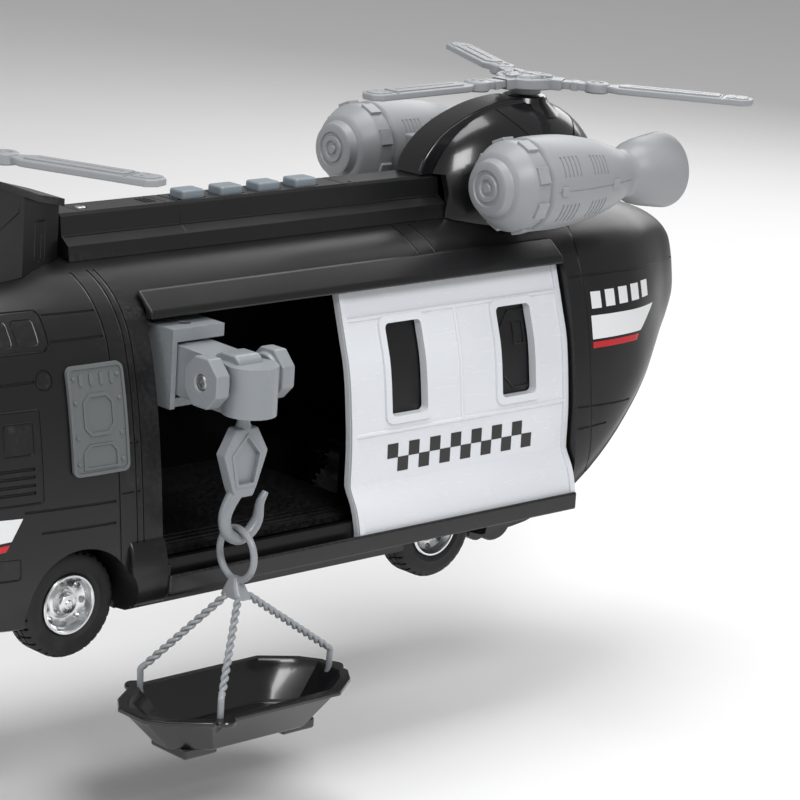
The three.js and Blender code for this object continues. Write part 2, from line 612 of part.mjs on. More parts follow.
const buttonBox = (x, grow, z0, z1) => {
  const [l, w] = [BUTTON_LENGTH / 2 + grow, BUTTON_WIDTH / 2 + grow];
  return box([x - l, -w, z0], [x + l, w, z1]);
};
const buttonHoles = buttonPlaces.map((x) => buttonBox(x, PIECE_GAP, SPINE_TOP - 4, SPINE_TOP + 2));
const spineCuts = [hullAndGap, spineHollow, batteryMouth, cellMouth, screwBore, ...buttonHoles];
addPart("roof_spine", cutBy(spineSolid, spineCuts), HULL_BLACK);

const screwSeat = joined([
  bar("z", SCREW_HEAD_RADIUS + PIECE_GAP, SPINE_TOP - 0.7, SPINE_TOP + 2, [SCREW_X, 0, 0], 16),
  bar("z", SCREW_SHANK_RADIUS + PIECE_GAP, SPINE_TOP - 4, SPINE_TOP + 2, [SCREW_X, 0, 0], 12),
]);
addPart(
  "battery_door",
  box(
    [batteryDoorRear, -BATTERY_DOOR_WIDTH / 2, BATTERY_DOOR_BASE + PIECE_GAP],
    [batteryDoorFront, BATTERY_DOOR_WIDTH / 2, SPINE_TOP],
  ).subtract(screwSeat),
  HULL_BLACK,
);
const SCREW_SEAT_Z = SPINE_TOP - 0.4;
const screwHead = bar("z", SCREW_HEAD_RADIUS, SCREW_SEAT_Z, SCREW_SEAT_Z + 1, [SCREW_X, 0, 0], 16);
const screwShank = bar("z", SCREW_SHANK_RADIUS, SCREW_SEAT_Z - 7, SCREW_SEAT_Z + 0.2, [SCREW_X, 0, 0], 12);
const SLOT_HALF_LENGTH = 1.3;
const SLOT_HALF_WIDTH = 0.25;
const crossSlot = [
  [SLOT_HALF_LENGTH, SLOT_HALF_WIDTH],
  [SLOT_HALF_WIDTH, SLOT_HALF_LENGTH],
].map(([x, y]) => box([-x, -y, 0], [x, y, 2]).translate([SCREW_X, 0, SCREW_SEAT_Z + 0.5]));
addPart("battery_door_screw", cutBy(joined([screwHead, screwShank]), crossSlot), STEEL);

const CELL_TOP = BODY_HEIGHT + 1;
for (let i = 0; i < 3; i++) {
  const x = batteryDoorRear + 7 + i * (CELL_HEIGHT + 0.4);
  const centre = [0, 0, CELL_TOP - CELL_DIAMETER / 2 - 4];
  const cell = bar("x", CELL_DIAMETER / 2, x, x + CELL_HEIGHT, centre, 20);
  addPart("button_cell_" + (i + 1), cell, STEEL);
}
const BOARD_Z = BODY_HEIGHT - 14;
addPart(
  "circuit_board",
  box([FIRST_BUTTON_X - 3.4 * BUTTON_PITCH, -11, BOARD_Z], [FIRST_BUTTON_X + 8, 11, BOARD_Z + 1.6]),
  BOARD_GREEN,
);
const SPEAKER_X = -85;
addPart(
  "speaker",
  turned("z", [[0, 0], [7, 0], [7, 3], [13, 6], [13, 8], [0, 8]], [SPEAKER_X, 0, BODY_HEIGHT - 20], 20),
  GLOSS_BLACK,
);
buttonPlaces.forEach((x, i) => {
  const group = new THREE.Group();
  helicopter.add(group);
  const cap = buttonBox(x, 0, SPINE_TOP - SPINE_WALL - 1, SPINE_TOP + BUTTON_RISE);
  const stem = bar("z", 1.5, BOARD_Z + 1.6 + BUTTON_TRAVEL + 0.4, SPINE_TOP - 2, [x, 0, 0], 12);
  addPart("button_" + (i + 1), cap.add(stem), BUTTON_GREY, group);
});

// ---------- pylons ----------
// The front pylon is a faceted hood with an overhanging roof.
const hoodPlan = [[-44, 8.5], [-23, 18], [12, 19], [27, 9]].map(([x, y]) => [FRONT_MAST.x + x, y]);
const mirroredPlan = (plan) => [...plan, ...plan.map(([x, y]) => [x, -y]).reverse()].reverse();
const hoodRoof = new THREE.Shape(
  [[-50, 95], [30, 95], [30, 137], [12, 143], [-10, 141.5], [-30, 134.5], [-50, 129.5]].map(([x, z]) => {
    return new THREE.Vector2(z, FRONT_MAST.x + x);
  }),
);
const roofOutline = hoodRoof.getPoints().map((p) => [p.x, p.y]);
const hoodBlock = prism("z", mirroredPlan(hoodPlan), BODY_HEIGHT - 7, 150).intersect(
  prism("y", roofOutline, -40, 40),
);
const LIP = 1.2;
const lipPlan = hoodPlan.map(([x, y]) => [x + (x - FRONT_MAST.x) * 0.03, y + LIP]);
const lipBlock = prism("z", mirroredPlan(lipPlan), 100, 150)
  .intersect(prism("y", roofOutline.map(([z, x]) => [z + LIP, x]), -40, 40))
  .subtract(prism("y", roofOutline.map(([z, x]) => [z - LIP, x]), -40, 40));
const MAST_BASE_RADIUS = 8;
const frontBoss = bar("z", MAST_BASE_RADIUS, 138, FRONT_MAST.z - 5, [FRONT_MAST.x, 0, 0], 20);
const BEARING_RADIUS = 4.5; // the tube under each boss that the mast turns in
const bearing = ({ x, z }) => bar("z", BEARING_RADIUS, z - MAST_LENGTH + 1, z - 8, [x, 0, 0], 20);
const PYLON_WALL = 2;
const inwards = (x) => x - PYLON_WALL * Math.sign(x - FRONT_MAST.x);
const hoodHollow = prism(
  "z",
  mirroredPlan(hoodPlan.map(([x, y]) => [inwards(x), y - PYLON_WALL])),
  BODY_HEIGHT - 9,
  150,
).intersect(prism("y", roofOutline.map(([z, x]) => [z - PYLON_WALL * 1.1, inwards(x)]), -40, 40));
const spineGrown = spineOutline.map(([y, z], i) => {
  return i === 0 ? [y - 3 * PIECE_GAP, z - 4] : [y - PIECE_GAP, z + PIECE_GAP];
});
const spineKeepOut = prism(
  "x",
  mirroredOutline(spineGrown),
  SPINE_REAR - PIECE_GAP,
  SPINE_FRONT + PIECE_GAP,
);
const hullFront = loft(
  [...FRONT_STATIONS, ...NOSE_STATIONS.slice(1)].map(([x, w, roof, belly]) => {
    return hullRing([x, w, roof + PIECE_GAP, belly]);
  }),
);
const mastHole = ({ x, z }) => bar("z", MAST_RADIUS + RUN_GAP, BODY_HEIGHT - 20, z + 20, [x, 0, 0], 16);
addPart(
  "front_pylon",
  largest(
    cutBy(joined([hoodBlock.subtract(hoodHollow), lipBlock, frontBoss, bearing(FRONT_MAST)]), [
      hullFront, spineKeepOut, mastHole(FRONT_MAST),
    ]),
  ),
  HULL_BLACK,
);

// The rear pylon is a smooth dome, longer than it is wide, flattened under the rotor.
const DOME = { x: REAR_MAST.x + 8, z: 105, length: 49, width: 25, height: 46 };
const DOME_LEVELS = [0.99, 0.95, 0.88, 0.78, 0.65, 0.5, 0.3, 0];
function domeSolid(grow) {
  const rings = DOME_LEVELS.map((level) => {
    const reach = Math.sqrt(1 - level ** 2.4);
    return polygon(24, 1).map(([u, v]) => {
      const x = DOME.x + u * (DOME.length + grow) * (u < 0 ? 0.95 : 1) * reach ** 0.9;
      const y = v * (DOME.width + grow) * reach;
      return new THREE.Vector3(x, y, DOME.z + level * (DOME.height + grow));
    });
  });
  return loft(rings);
}
const dome = domeSolid(0);
const domeAndGap = domeSolid(PIECE_GAP * 2);
const rearBoss = bar("z", MAST_BASE_RADIUS, 145, REAR_MAST.z - 5, [REAR_MAST.x, 0, 0], 20);
const domeCrest = prism("y", [
  [SPINE_TOP - 8, SPINE_REAR - 2], [SPINE_TOP + 2, SPINE_REAR + 10], [SPINE_TOP + 12, SPINE_REAR + 2],
  [SPINE_TOP + 20, SPINE_REAR - 13], [SPINE_TOP + 24, SPINE_REAR - 26], [SPINE_TOP - 8, SPINE_REAR - 60],
], -SPINE_HALF_WIDTH, SPINE_HALF_WIDTH);
const domeShell = joined([dome, domeCrest]).subtract(domeSolid(-PYLON_WALL));
addPart(
  "rear_pylon",
  largest(
    cutBy(domeShell.add(rearBoss).add(bearing(REAR_MAST)), [hullAndGap, spineKeepOut, mastHole(REAR_MAST)]),
  ),
  GLOSS_BLACK,
);

// ---------- engines ----------
// The pod's profile as (radius, place behind its front face).
const ENGINE_PROFILE = [
  [0, 0], [9.6, 0], [10.4, -3], [12.6, -4], [15.4, -8.5], [16.4, -10], [16.4, -16],
  [ENGINE_RADIUS, -18], [ENGINE_RADIUS, -32], [15.2, -47], [12.7, -57], [9.4, -66], [9.2, -69],
  [12, -75], [13.8, -83], [NOZZLE_RADIUS, -91],
  [NOZZLE_RADIUS - NOZZLE_WALL, -91], [13.8 - NOZZLE_WALL, -83], [12 - NOZZLE_WALL, -75.5], [0, -73],
];
const STRUT_REACH = 14; // the struts start inside the dome, and are cut back to its surface
[["port", 1], ["starboard", -1]].forEach(([side, sign]) => {
  const centre = [ENGINE_FRONT, sign * ENGINE_Y, ENGINE_Z];
  const pod = turned("x", ENGINE_PROFILE, centre, 20);
  const strutSides = [sign * STRUT_REACH, sign * (ENGINE_Y - 13)].sort((a, b) => a - b);
  const strut = box(
    [ENGINE_FRONT - 47, strutSides[0], ENGINE_Z - 9],
    [ENGINE_FRONT - 22, strutSides[1], ENGINE_Z + 7],
  );
  addPart("engine_" + side, largest(cutBy(pod.add(strut), [domeAndGap, hullAndGap])), ROTOR_GREY);
});

// ---------- rotors ----------
const rotorDisc = (radius, z0, z1, x, y, segments) => bar("z", radius, z0, z1, [x, y, 0], segments);
function blade(mast, index) {
  const half = BLADE_CHORD / 2;
  const root = BLADE_PAD_X + 4;
  const outline = [
    [root, -2.6], [root + 5, -half], [ROTOR_RADIUS - 3, -half], [ROTOR_RADIUS, -half + 3],
    [ROTOR_RADIUS, half - 3], [ROTOR_RADIUS - 3, half], [root + 5, half], [root, 2.6],
  ];
  const plate = prism("z", outline, -BLADE_THICKNESS / 2, BLADE_THICKNESS / 2);
  const rib = box([root + 6, -2.2, 0], [ROTOR_RADIUS - 11, 2.2, BLADE_THICKNESS / 2 + 0.6]);
  const pad = rotorDisc(4.8, -1.9, 1.9, BLADE_PAD_X, 0, 20);
  const link = box([HUB_RADIUS + 1.2, -3, -1.4], [BLADE_PAD_X, 3, 1.4]);
  const neck = box([BLADE_PAD_X, -2.6, -BLADE_THICKNESS / 2], [root + 2, 2.6, BLADE_THICKNESS / 2]);
  return joined([plate, rib, pad, link, neck])
    .rotate([0, 0, mast.turn + 120 * index])
    .translate([mast.x, 0, mast.z]);
}
function hub(mast) {
  const sockets = [0, 1, 2].map((i) => {
    return box([HUB_RADIUS - 3, -4.2, -HUB_THICKNESS / 2], [HUB_RADIUS + 4, 4.2, HUB_THICKNESS / 2])
      .rotate([0, 0, mast.turn + 120 * i]);
  });
  const slots = [0, 1, 2].map((i) => {
    const lows = [HUB_RADIUS + 1, -3 - PIECE_GAP, -1.4 - PIECE_GAP];
    const highs = [HUB_RADIUS + 6, 3 + PIECE_GAP, 1.4 + PIECE_GAP];
    return box(lows, highs).rotate([0, 0, mast.turn + 120 * i]);
  });
  const disc = joined([
    rotorDisc(HUB_RADIUS, -HUB_THICKNESS / 2, HUB_THICKNESS / 2, 0, 0, 28),
    rotorDisc(6, -4.4, 0, 0, 0, 20),
    rotorDisc(6.4, 0, HUB_THICKNESS / 2 + 0.7, 0, 0, 20),
    ...sockets,
  ]);
  const shaft = bar("z", MAST_RADIUS, -MAST_LENGTH, 0, [0, 0, 0], 16);
  return cutBy(disc, slots).add(shaft).translate([mast.x, 0, mast.z]);
}
[["front", FRONT_MAST], ["rear", REAR_MAST]].forEach(([place, mast]) => {
  const rotor = new THREE.Group();
  helicopter.add(rotor);
  addPart(place + "_rotor_hub", hub(mast), ROTOR_GREY, rotor);
  for (let i = 0; i < 3; i++) addPart(place + "_blade_" + (i + 1), blade(mast, i), ROTOR_GREY, rotor);
});

// ---------- side hatch ----------
const HATCH = { x0: 63, x1: 85.2, z0: 49.8, z1: 84.8, proud: 1 };
const hatchSlab = prism("y", [
  [HATCH.z0 + 2, HATCH.x0], [HATCH.z0, HATCH.x0 + 2], [HATCH.z0, HATCH.x1 - 2], [HATCH.z0 + 2, HATCH.x1],
  [HATCH.z1 - 2, HATCH.x1], [HATCH.z1, HATCH.x1 - 2], [HATCH.z1, HATCH.x0 + 2], [HATCH.z1 - 2, HATCH.x0],
], 20, 80);
const hullGrown = (grow) => loft(hullStations.map((station) => hullRing(station, -grow)));
addPart(
  "side_hatch",
  largest(hatchSlab.intersect(hullGrown(PIECE_GAP + HATCH.proud)).subtract(hullGrown(PIECE_GAP))),
  ROTOR_GREY,
);

// ---------- winch ----------
const KEEPER_Z = ARM_TOP + 1;
const BRACKET = { x0: WINCH_X - 11.5, x1: WINCH_X + 10, y1: 45, top: 93.3 };
const FLANGE_X = WINCH_X + ARM_WIDTH / 2 + SLIDE_GAP;
const bracketBack = box([BRACKET.x0, 26, ARM_BOTTOM - 4], [OPENING_FRONT + SHELL_WALL, 28.5, BRACKET.top]);
const bracketTop = box([BRACKET.x0, 26, KEEPER_Z], [BRACKET.x1, BRACKET.y1, BRACKET.top]);
const bracketFoot = box([BRACKET.x0, 26, ARM_BOTTOM - 4], [BRACKET.x1, WINCH_HINGE_Y + 5, ARM_BOTTOM - 1]);
const bracketFlange = box([FLANGE_X, 26, ARM_BOTTOM - 4], [FLANGE_X + 2, BRACKET.y1, BRACKET.top]);
const HINGE_PIN_RADIUS = 2;
addPart(
  "winch_bracket",
  joined([bracketBack, bracketTop, bracketFoot, bracketFlange]).subtract(
    bar("z", HINGE_PIN_RADIUS + PIECE_GAP, 40, 120, [WINCH_X, WINCH_HINGE_Y, 0], 16),
  ),
  ROTOR_GREY,
);
addPart(
  "winch_hinge_pin",
  bar("z", HINGE_PIN_RADIUS, ARM_BOTTOM - 3.6, BRACKET.top - 0.4, [WINCH_X, WINCH_HINGE_Y, 0], 16),
  STEEL,
);

const armGroup = new THREE.Group();
helicopter.add(armGroup);
const HEAD_FRONT_Y = 82;
const HEAD_REAR_Y = 60;
const armBeam = prism("x", [
  [WINCH_HINGE_Y, ARM_BOTTOM + 1], [WINCH_HINGE_Y, ARM_TOP], [HEAD_REAR_Y + 4, ARM_TOP - 0.6],
  [HEAD_REAR_Y + 4, ARM_BOTTOM], [HEAD_REAR_Y, ARM_BOTTOM],
], WINCH_X - ARM_WIDTH / 2, WINCH_X + ARM_WIDTH / 2);
const armBarrel = bar("z", ARM_WIDTH / 2 - 0.6, ARM_BOTTOM + 1, ARM_TOP, [WINCH_X, WINCH_HINGE_Y, 0], 24);
const HEAD_RADIUS = ARM_WIDTH / 2 + 1.5;
const headCentre = [WINCH_X, HEAD_FRONT_Y - HEAD_RADIUS, 0];
const headRound = bar("z", HEAD_RADIUS, ARM_BOTTOM, ARM_TOP - 1, headCentre, 24);
const headBlock = box(
  [WINCH_X - ARM_WIDTH / 2, HEAD_REAR_Y, ARM_BOTTOM],
  [WINCH_X + ARM_WIDTH / 2, HEAD_FRONT_Y - HEAD_RADIUS, ARM_TOP - 1],
);
const drumRoom = box(
  [WINCH_X - ARM_WIDTH / 2 + 2, KNOB_AXIS_Y - DRUM_RADIUS - SLIDE_GAP, ARM_BOTTOM - 1],
  [
    WINCH_X + ARM_WIDTH / 2 - 2,
    Math.max(KNOB_AXIS_Y + DRUM_RADIUS, LINE_Y + STEM_RADIUS) + SLIDE_GAP,
    KNOB_AXIS_Z + DRUM_RADIUS + SLIDE_GAP,
  ],
);
const WINCH_AXLE_RADIUS = 2;
const armCuts = [
  bar("z", HINGE_PIN_RADIUS + RUN_GAP, 40, 120, [WINCH_X, WINCH_HINGE_Y, 0], 16),
  bar("x", WINCH_AXLE_RADIUS + RUN_GAP, 0, 80, [0, KNOB_AXIS_Y, KNOB_AXIS_Z], 16),
  drumRoom,
];
const armBody = joined([armBeam, armBarrel, headRound, headBlock]);
addPart("winch_arm", cutBy(armBody, armCuts), ROTOR_GREY, armGroup);

const windingGroup = new THREE.Group();
armGroup.add(windingGroup);
const knobInner = ARM_WIDTH / 2 + 1.5 + 0.5;
const knobOuter = knobInner + KNOB_LENGTH;
const drumAxis = [WINCH_X, KNOB_AXIS_Y, KNOB_AXIS_Z];
const DRUM_HALF = ARM_WIDTH / 2 - 2 - SLIDE_GAP;
const KNOB_BOSS = 3.4;
addPart(
  "winch_drum",
  turned("x", [
    [0, -knobOuter + 2], [WINCH_AXLE_RADIUS, -knobOuter + 2], [WINCH_AXLE_RADIUS, -DRUM_HALF],
    [DRUM_RADIUS, -DRUM_HALF], [DRUM_RADIUS, -DRUM_HALF + 1], [DRUM_CORE, -DRUM_HALF + 1],
    [DRUM_CORE, DRUM_HALF - 1], [DRUM_RADIUS, DRUM_HALF - 1], [DRUM_RADIUS, DRUM_HALF],
    [WINCH_AXLE_RADIUS, DRUM_HALF], [WINCH_AXLE_RADIUS, knobOuter - 4], [0, knobOuter - 4],
  ], drumAxis, 16),
  ROTOR_GREY,
  windingGroup,
);
[["front", 1], ["rear", -1]].forEach(([place, sign]) => {
  const corners = (radius) => polygon(8, radius, 22.5).map(([u, v]) => [KNOB_AXIS_Y + u, KNOB_AXIS_Z + v]);
  const faces = [sign * (knobInner + 1.5), sign * knobOuter].sort((a, b) => a - b);
  const rim = prism("x", corners(KNOB_RADIUS), WINCH_X + faces[0], WINCH_X + faces[1]);
  const step = [sign * knobInner, sign * (knobInner + 2)].sort((a, b) => a - b);
  const collar = bar("x", KNOB_RADIUS - 2.2, step[0], step[1], drumAxis, 20);
  const bore = bar("x", WINCH_AXLE_RADIUS + 0.1, -knobOuter + 1.9, knobOuter - 3.9, drumAxis, 16);
  const recess = sign > 0 ? [knobOuter - 1.6, knobOuter + 1] : [-knobOuter - 1, -knobOuter - 0.9];
  const screwHole = bar("x", KNOB_BOSS - 0.6, ...recess, drumAxis, 16);
  addPart("winch_knob_" + place, cutBy(rim.add(collar), [bore, screwHole]), ROTOR_GREY, windingGroup);
});
addPart(
  "winch_screw",
  bar("x", 2.4, knobOuter - 1.3, knobOuter - 0.4, drumAxis, 16).subtract(
    box(
      [WINCH_X + knobOuter - 0.9, KNOB_AXIS_Y - 1.5, KNOB_AXIS_Z - 0.3],
      [WINCH_X + knobOuter + 1, KNOB_AXIS_Y + 1.5, KNOB_AXIS_Z + 0.3],
    ),
  ),
  STEEL,
  windingGroup,
);

// ---------- hoist line, hook and sling ----------
const hookGroup = new THREE.Group();
armGroup.add(hookGroup);
const STEM_TOP = HOOK_TOP + 8;
const lineFoot = [WINCH_X, LINE_Y, 0];
const line = bar("z", LINE_RADIUS, STEM_TOP + PIECE_GAP, KNOB_AXIS_Z, lineFoot, 8);
addPart("hoist_line", line, SLING_GREY, hookGroup);
const HOOK_THICKNESS = 5;
const hookPlate = [
  [-4.4, 0], [4.4, 0], [9.2, -8.5], [5.2, -20], [3.6, -23], [-3.6, -23], [-5.2, -20], [-9.2, -8.5],
].map(([x, z]) => [HOOK_TOP + z, WINCH_X + x]);
const hookRecess = [
  [0, -3], [4.6, -9], [2.8, -18], [-2.8, -18], [-4.6, -9],
].map(([x, z]) => [HOOK_TOP + z, WINCH_X + x]);
const stem = bar("z", STEM_RADIUS, HOOK_TOP - 1, STEM_TOP, lineFoot, 16);
// The hook's bow is a rod that runs down, round under the ring and up to the tip.
const BOW_RADIUS = 2.1;
const BOW_LOW = -6.4;
const hookCentre = [WINCH_X - 0.6, LINE_Y, HOOK_TOP - 31.6];
const bowPoints = [
  [2.6, 9.5], [5, 6], [6.6, 1.5], [5.2, -3.6], [0.6, BOW_LOW], [-4, -5], [-7.4, -1], [-8.2, 4.4], [-10.4, 8],
].map(([x, z]) => [hookCentre[0] + x, LINE_Y, hookCentre[2] + z]);
const bow = rod(bowPoints, BOW_RADIUS, 16, 8);
const BOW_SEAT_Z = hookCentre[2] + BOW_LOW + BOW_RADIUS;
addPart(
  "hook",
  joined([
    prism("y", hookPlate, LINE_Y - HOOK_THICKNESS / 2, LINE_Y + HOOK_THICKNESS / 2),
    stem,
    bow,
  ]).subtract(prism("y", hookRecess, LINE_Y + 1, LINE_Y + 4)),
  ROTOR_GREY,
  hookGroup,
);

const slingGroup = new THREE.Group();
hookGroup.add(slingGroup);
const RING_Z = BOW_SEAT_Z + PIECE_GAP + RING_WIRE - RING_RADIUS;
const ring = turned(
  "x",
  polygon(8, RING_WIRE).concat(polygon(1, RING_WIRE)).map(([u, v]) => [RING_RADIUS + u, v]),
  [WINCH_X, LINE_Y, RING_Z],
  20,
);
const WEB_TOP = RING_Z - RING_RADIUS;
const WEB_BOTTOM = 8;
const ears = [[25.5, -18.6], [22, 18.6], [-41, 0]].map(([x, y]) => [WINCH_X + x, TRAY_Y + y]);
const EAR_Z = TRAY_RIM_Z + 1;
const legs = ears.map(([x, y]) => {
  const top = [WINCH_X + (x - WINCH_X) * 0.06, LINE_Y + 1 + (y - LINE_Y) * 0.12, WEB_BOTTOM + 1];
  const knee = [x, y, EAR_Z + 5];
  const span = [0.35, 0.7, 0.94].map((t) => top.map((v, k) => v + (knee[k] - v) * t));
  return rod([top, ...span, [x, y, EAR_Z + 3], [x, y, EAR_Z - 4]], LEG_WIRE, 9, 6);
});
const WEB_RADIUS = 5.2;
const webRing = (shareX, shareY, shift, z) => {
  return polygon(8, WEB_RADIUS).map(([u, v]) => {
    return new THREE.Vector3(WINCH_X + u * shareX, LINE_Y + shift + v * shareY, z);
  });
};
const web = loft([webRing(0.6, 1.05, 0.5, WEB_BOTTOM), webRing(0.5, 0.5, 0, WEB_TOP - 0.4)]);
addPart("sling", joined([ring, web, ...legs]), SLING_GREY, slingGroup);

// The tray is an elongated octagon with sloping walls, ears for the sling and a foot underneath.
function trayPlan(inset, taper) {
  const l = TRAY_LENGTH / 2 - inset - taper;
  const w = TRAY_WIDTH / 2 - inset - taper * 0.6;
  const quarter = [[l, 0.3 * w], [l - 5, 0.62 * w], [l * 0.62, w]];
  const side = [...quarter, ...quarter.map(([x, y]) => [-x, y]).reverse()];
  return [...side, ...side.map(([x, y]) => [-x, -y])].map(([x, y]) => [WINCH_X + x, TRAY_Y + y]);
}
const trayRing = (inset, taper, z) => trayPlan(inset, taper).map(([x, y]) => new THREE.Vector3(x, y, z));
const TRAY_LIP = 1.6;
const trayOuter = loft([
  trayRing(0, 10, TRAY_RIM_Z - TRAY_DEPTH),
  trayRing(TRAY_LIP, 0, TRAY_RIM_Z - TRAY_LIP),
  trayRing(0, 0, TRAY_RIM_Z - TRAY_LIP + 0.2),
  trayRing(0, 0, TRAY_RIM_Z),
]);
const trayInner = loft([
  trayRing(TRAY_WALL, 10, TRAY_RIM_Z - TRAY_DEPTH + TRAY_WALL),
  trayRing(TRAY_LIP + TRAY_WALL, 0, TRAY_RIM_Z + 1),
]);
const earPads = ears.map(([x, y], i) => {
  const outward = i === 2 ? [-2, 0] : [0, y > TRAY_Y ? 2.5 : -2.5];
  return bar("z", 3.6, TRAY_RIM_Z - 1.6, TRAY_RIM_Z, [x + outward[0], y + outward[1], 0], 16);
});
const earHoles = ears.map(([x, y]) => {
  return bar("z", LEG_WIRE + PIECE_GAP - 0.05, TRAY_RIM_Z - 8, TRAY_RIM_Z + 4, [x, y, 0], 12);
});
const FOOT_DROP = 3;
const TRAY_BOTTOM = TRAY_RIM_Z - TRAY_DEPTH;
const FOOT_LENGTH = 14;
const FOOT_HALF_WIDTH = 9;
const trayFeet = [-2 * FOOT_LENGTH, FOOT_LENGTH].map((x) => {
  return box(
    [WINCH_X + x, TRAY_Y - FOOT_HALF_WIDTH, TRAY_BOTTOM - FOOT_DROP],
    [WINCH_X + x + FOOT_LENGTH, TRAY_Y + FOOT_HALF_WIDTH, TRAY_BOTTOM + 1],
  );
});
addPart(
  "tray",
  cutBy(joined([trayOuter.subtract(trayInner), ...earPads, ...trayFeet]), [...earHoles, trayInner]),
  GLOSS_BLACK,
  slingGroup,
);

export default helicopter;
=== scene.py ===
"""Looks of a toy tandem-rotor helicopter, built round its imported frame.

The frame gives every place, pivot and outer size. Each class is one sub-assembly: its fields are sizes in
millimetres, and its methods build the meshes, dress them and put them on the body that they move with.
+X points to the nose, +Y to the side with the sliding door, +Z up.
"""

import json
import logging
import math
from collections.abc import Callable, Iterable, Sequence
from dataclasses import dataclass, field
from enum import Enum

import bmesh
import bpy
from mathutils import Matrix, Vector
from mathutils.bvhtree import BVHTree


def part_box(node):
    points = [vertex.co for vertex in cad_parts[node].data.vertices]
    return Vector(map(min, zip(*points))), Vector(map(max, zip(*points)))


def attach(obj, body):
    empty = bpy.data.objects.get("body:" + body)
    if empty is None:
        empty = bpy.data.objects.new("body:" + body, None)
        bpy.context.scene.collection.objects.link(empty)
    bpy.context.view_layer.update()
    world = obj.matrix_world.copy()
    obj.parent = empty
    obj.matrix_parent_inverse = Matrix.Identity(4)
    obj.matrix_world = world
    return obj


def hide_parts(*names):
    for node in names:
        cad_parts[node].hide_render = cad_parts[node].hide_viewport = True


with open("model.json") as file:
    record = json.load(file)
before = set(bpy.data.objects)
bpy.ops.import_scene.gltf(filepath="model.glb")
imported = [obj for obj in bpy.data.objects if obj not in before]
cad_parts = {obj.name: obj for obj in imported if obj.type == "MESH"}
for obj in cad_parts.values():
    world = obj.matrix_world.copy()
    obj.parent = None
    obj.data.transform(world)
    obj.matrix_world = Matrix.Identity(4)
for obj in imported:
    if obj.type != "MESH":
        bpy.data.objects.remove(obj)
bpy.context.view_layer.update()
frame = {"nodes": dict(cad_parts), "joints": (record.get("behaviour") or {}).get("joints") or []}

LOG = logging.getLogger("helicopter")
MM = 0.001
FULL_TURN = 2 * math.pi
HOIST = (34.5, 70.5)  # where the hoist line hangs, in millimetres along X and Y
Colour = tuple[float, float, float]
Outline = Sequence[tuple[float, float]]


# ---------------------------------------------------------------------------------------------- the frame


def corners(node: str) -> tuple[Vector, Vector]:
    """Reads a node's box from the frame.

    Args:
        node: The node's name.

    Returns:
        Its lowest and highest corner at rest, in millimetres.
    """
    low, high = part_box(node)
    return Vector(low) / MM, Vector(high) / MM


def middle(node: str) -> Vector:
    """The middle of a node's box, in millimetres."""
    low, high = corners(node)
    return (low + high) / 2


def pivot(joint: str) -> Vector:
    """The point that a joint turns about, in millimetres."""
    row = next(each for each in frame["joints"] if each["name"] == joint)
    return Vector(row["pos_m"]) / MM


class Side(Enum):
    """The two sides of the aircraft, by the sign of Y."""

    PORT = 1
    STARBOARD = -1

    @property
    def label(self) -> str:
        """The side's name in lower case."""
        return self.name.lower()


class Axis(Enum):
    """The direction that an outline is pushed along or a profile turned about."""

    X = 0
    Y = 1
    Z = 2

    def place(self, u: float, v: float, along: float) -> Vector:
        """Puts a flat point into space.

        Args:
            u: First flat coordinate: Y for the X axis, otherwise X.
            v: Second flat coordinate: Y for the Z axis, otherwise Z.
            along: Distance along the axis.

        Returns:
            The point.
        """
        return Vector({Axis.X: (along, u, v), Axis.Y: (u, along, v), Axis.Z: (u, v, along)}[self])

    @property
    def direction(self) -> Vector:
        """The axis as a unit vector."""
        return self.place(0, 0, 1)


# ---------------------------------------------------------------------------------------------- curves


def catmull(points: Sequence[Vector], at: float) -> Vector:
    """Reads a smooth curve through points.

    Args:
        points: The points it passes through.
        at: Place along it, counted in points from 0.

    Returns:
        The point there.
    """
    last = len(points) - 1
    index = min(max(int(at), 0), last - 1)
    t = min(max(at - index, 0.0), 1.0)
    a, b, c, d = (points[min(max(index + k, 0), last)] for k in (-1, 0, 1, 2))
    slope_in = (c - a) / 2
    slope_out = (d - b) / 2
    rise = c - b
    bend = 3 * rise - 2 * slope_in - slope_out
    twist = slope_in + slope_out - 2 * rise
    return b + slope_in * t + bend * t**2 + twist * t**3


def smooth_path(points: Iterable[Sequence[float]], steps: int) -> list[Vector]:
    """Samples a smooth curve through points at even places."""
    knots = [Vector(point) for point in points]
    return [catmull(knots, (len(knots) - 1) * i / steps) for i in range(steps + 1)]


def traced(
    corners_xz: Outline, at: Callable[[float, float], Vector], closed: bool = False, step: float = 3.0
) -> list[Vector]:
    """Follows a surface through corners given by place and height.

    Args:
        corners_xz: The corners in order.
        at: The surface's point for a place and a height.
        closed: Whether the path returns to its first corner, which isn't repeated.
        step: Length of the path's pieces in millimetres.

    Returns:
        The path's points.
    """
    points = list(corners_xz) + ([corners_xz[0]] if closed else [])
    path = []
    for (x0, z0), (x1, z1) in zip(points, points[1:]):
        count = max(1, round(math.dist((x0, z0), (x1, z1)) / step))
        path += [at(x0 + (x1 - x0) * i / count, z0 + (z1 - z0) * i / count) for i in range(count)]
    return path if closed else [*path, at(*points[-1])]


def regular(sides: int, radius: float, turn: float = 0.0) -> list[tuple[float, float]]:
    """A regular polygon's corners, the first one turned by some degrees from the first axis."""
    angles = [math.radians(turn) + FULL_TURN * i / sides for i in range(sides)]
    return [(radius * math.cos(a), radius * math.sin(a)) for a in angles]


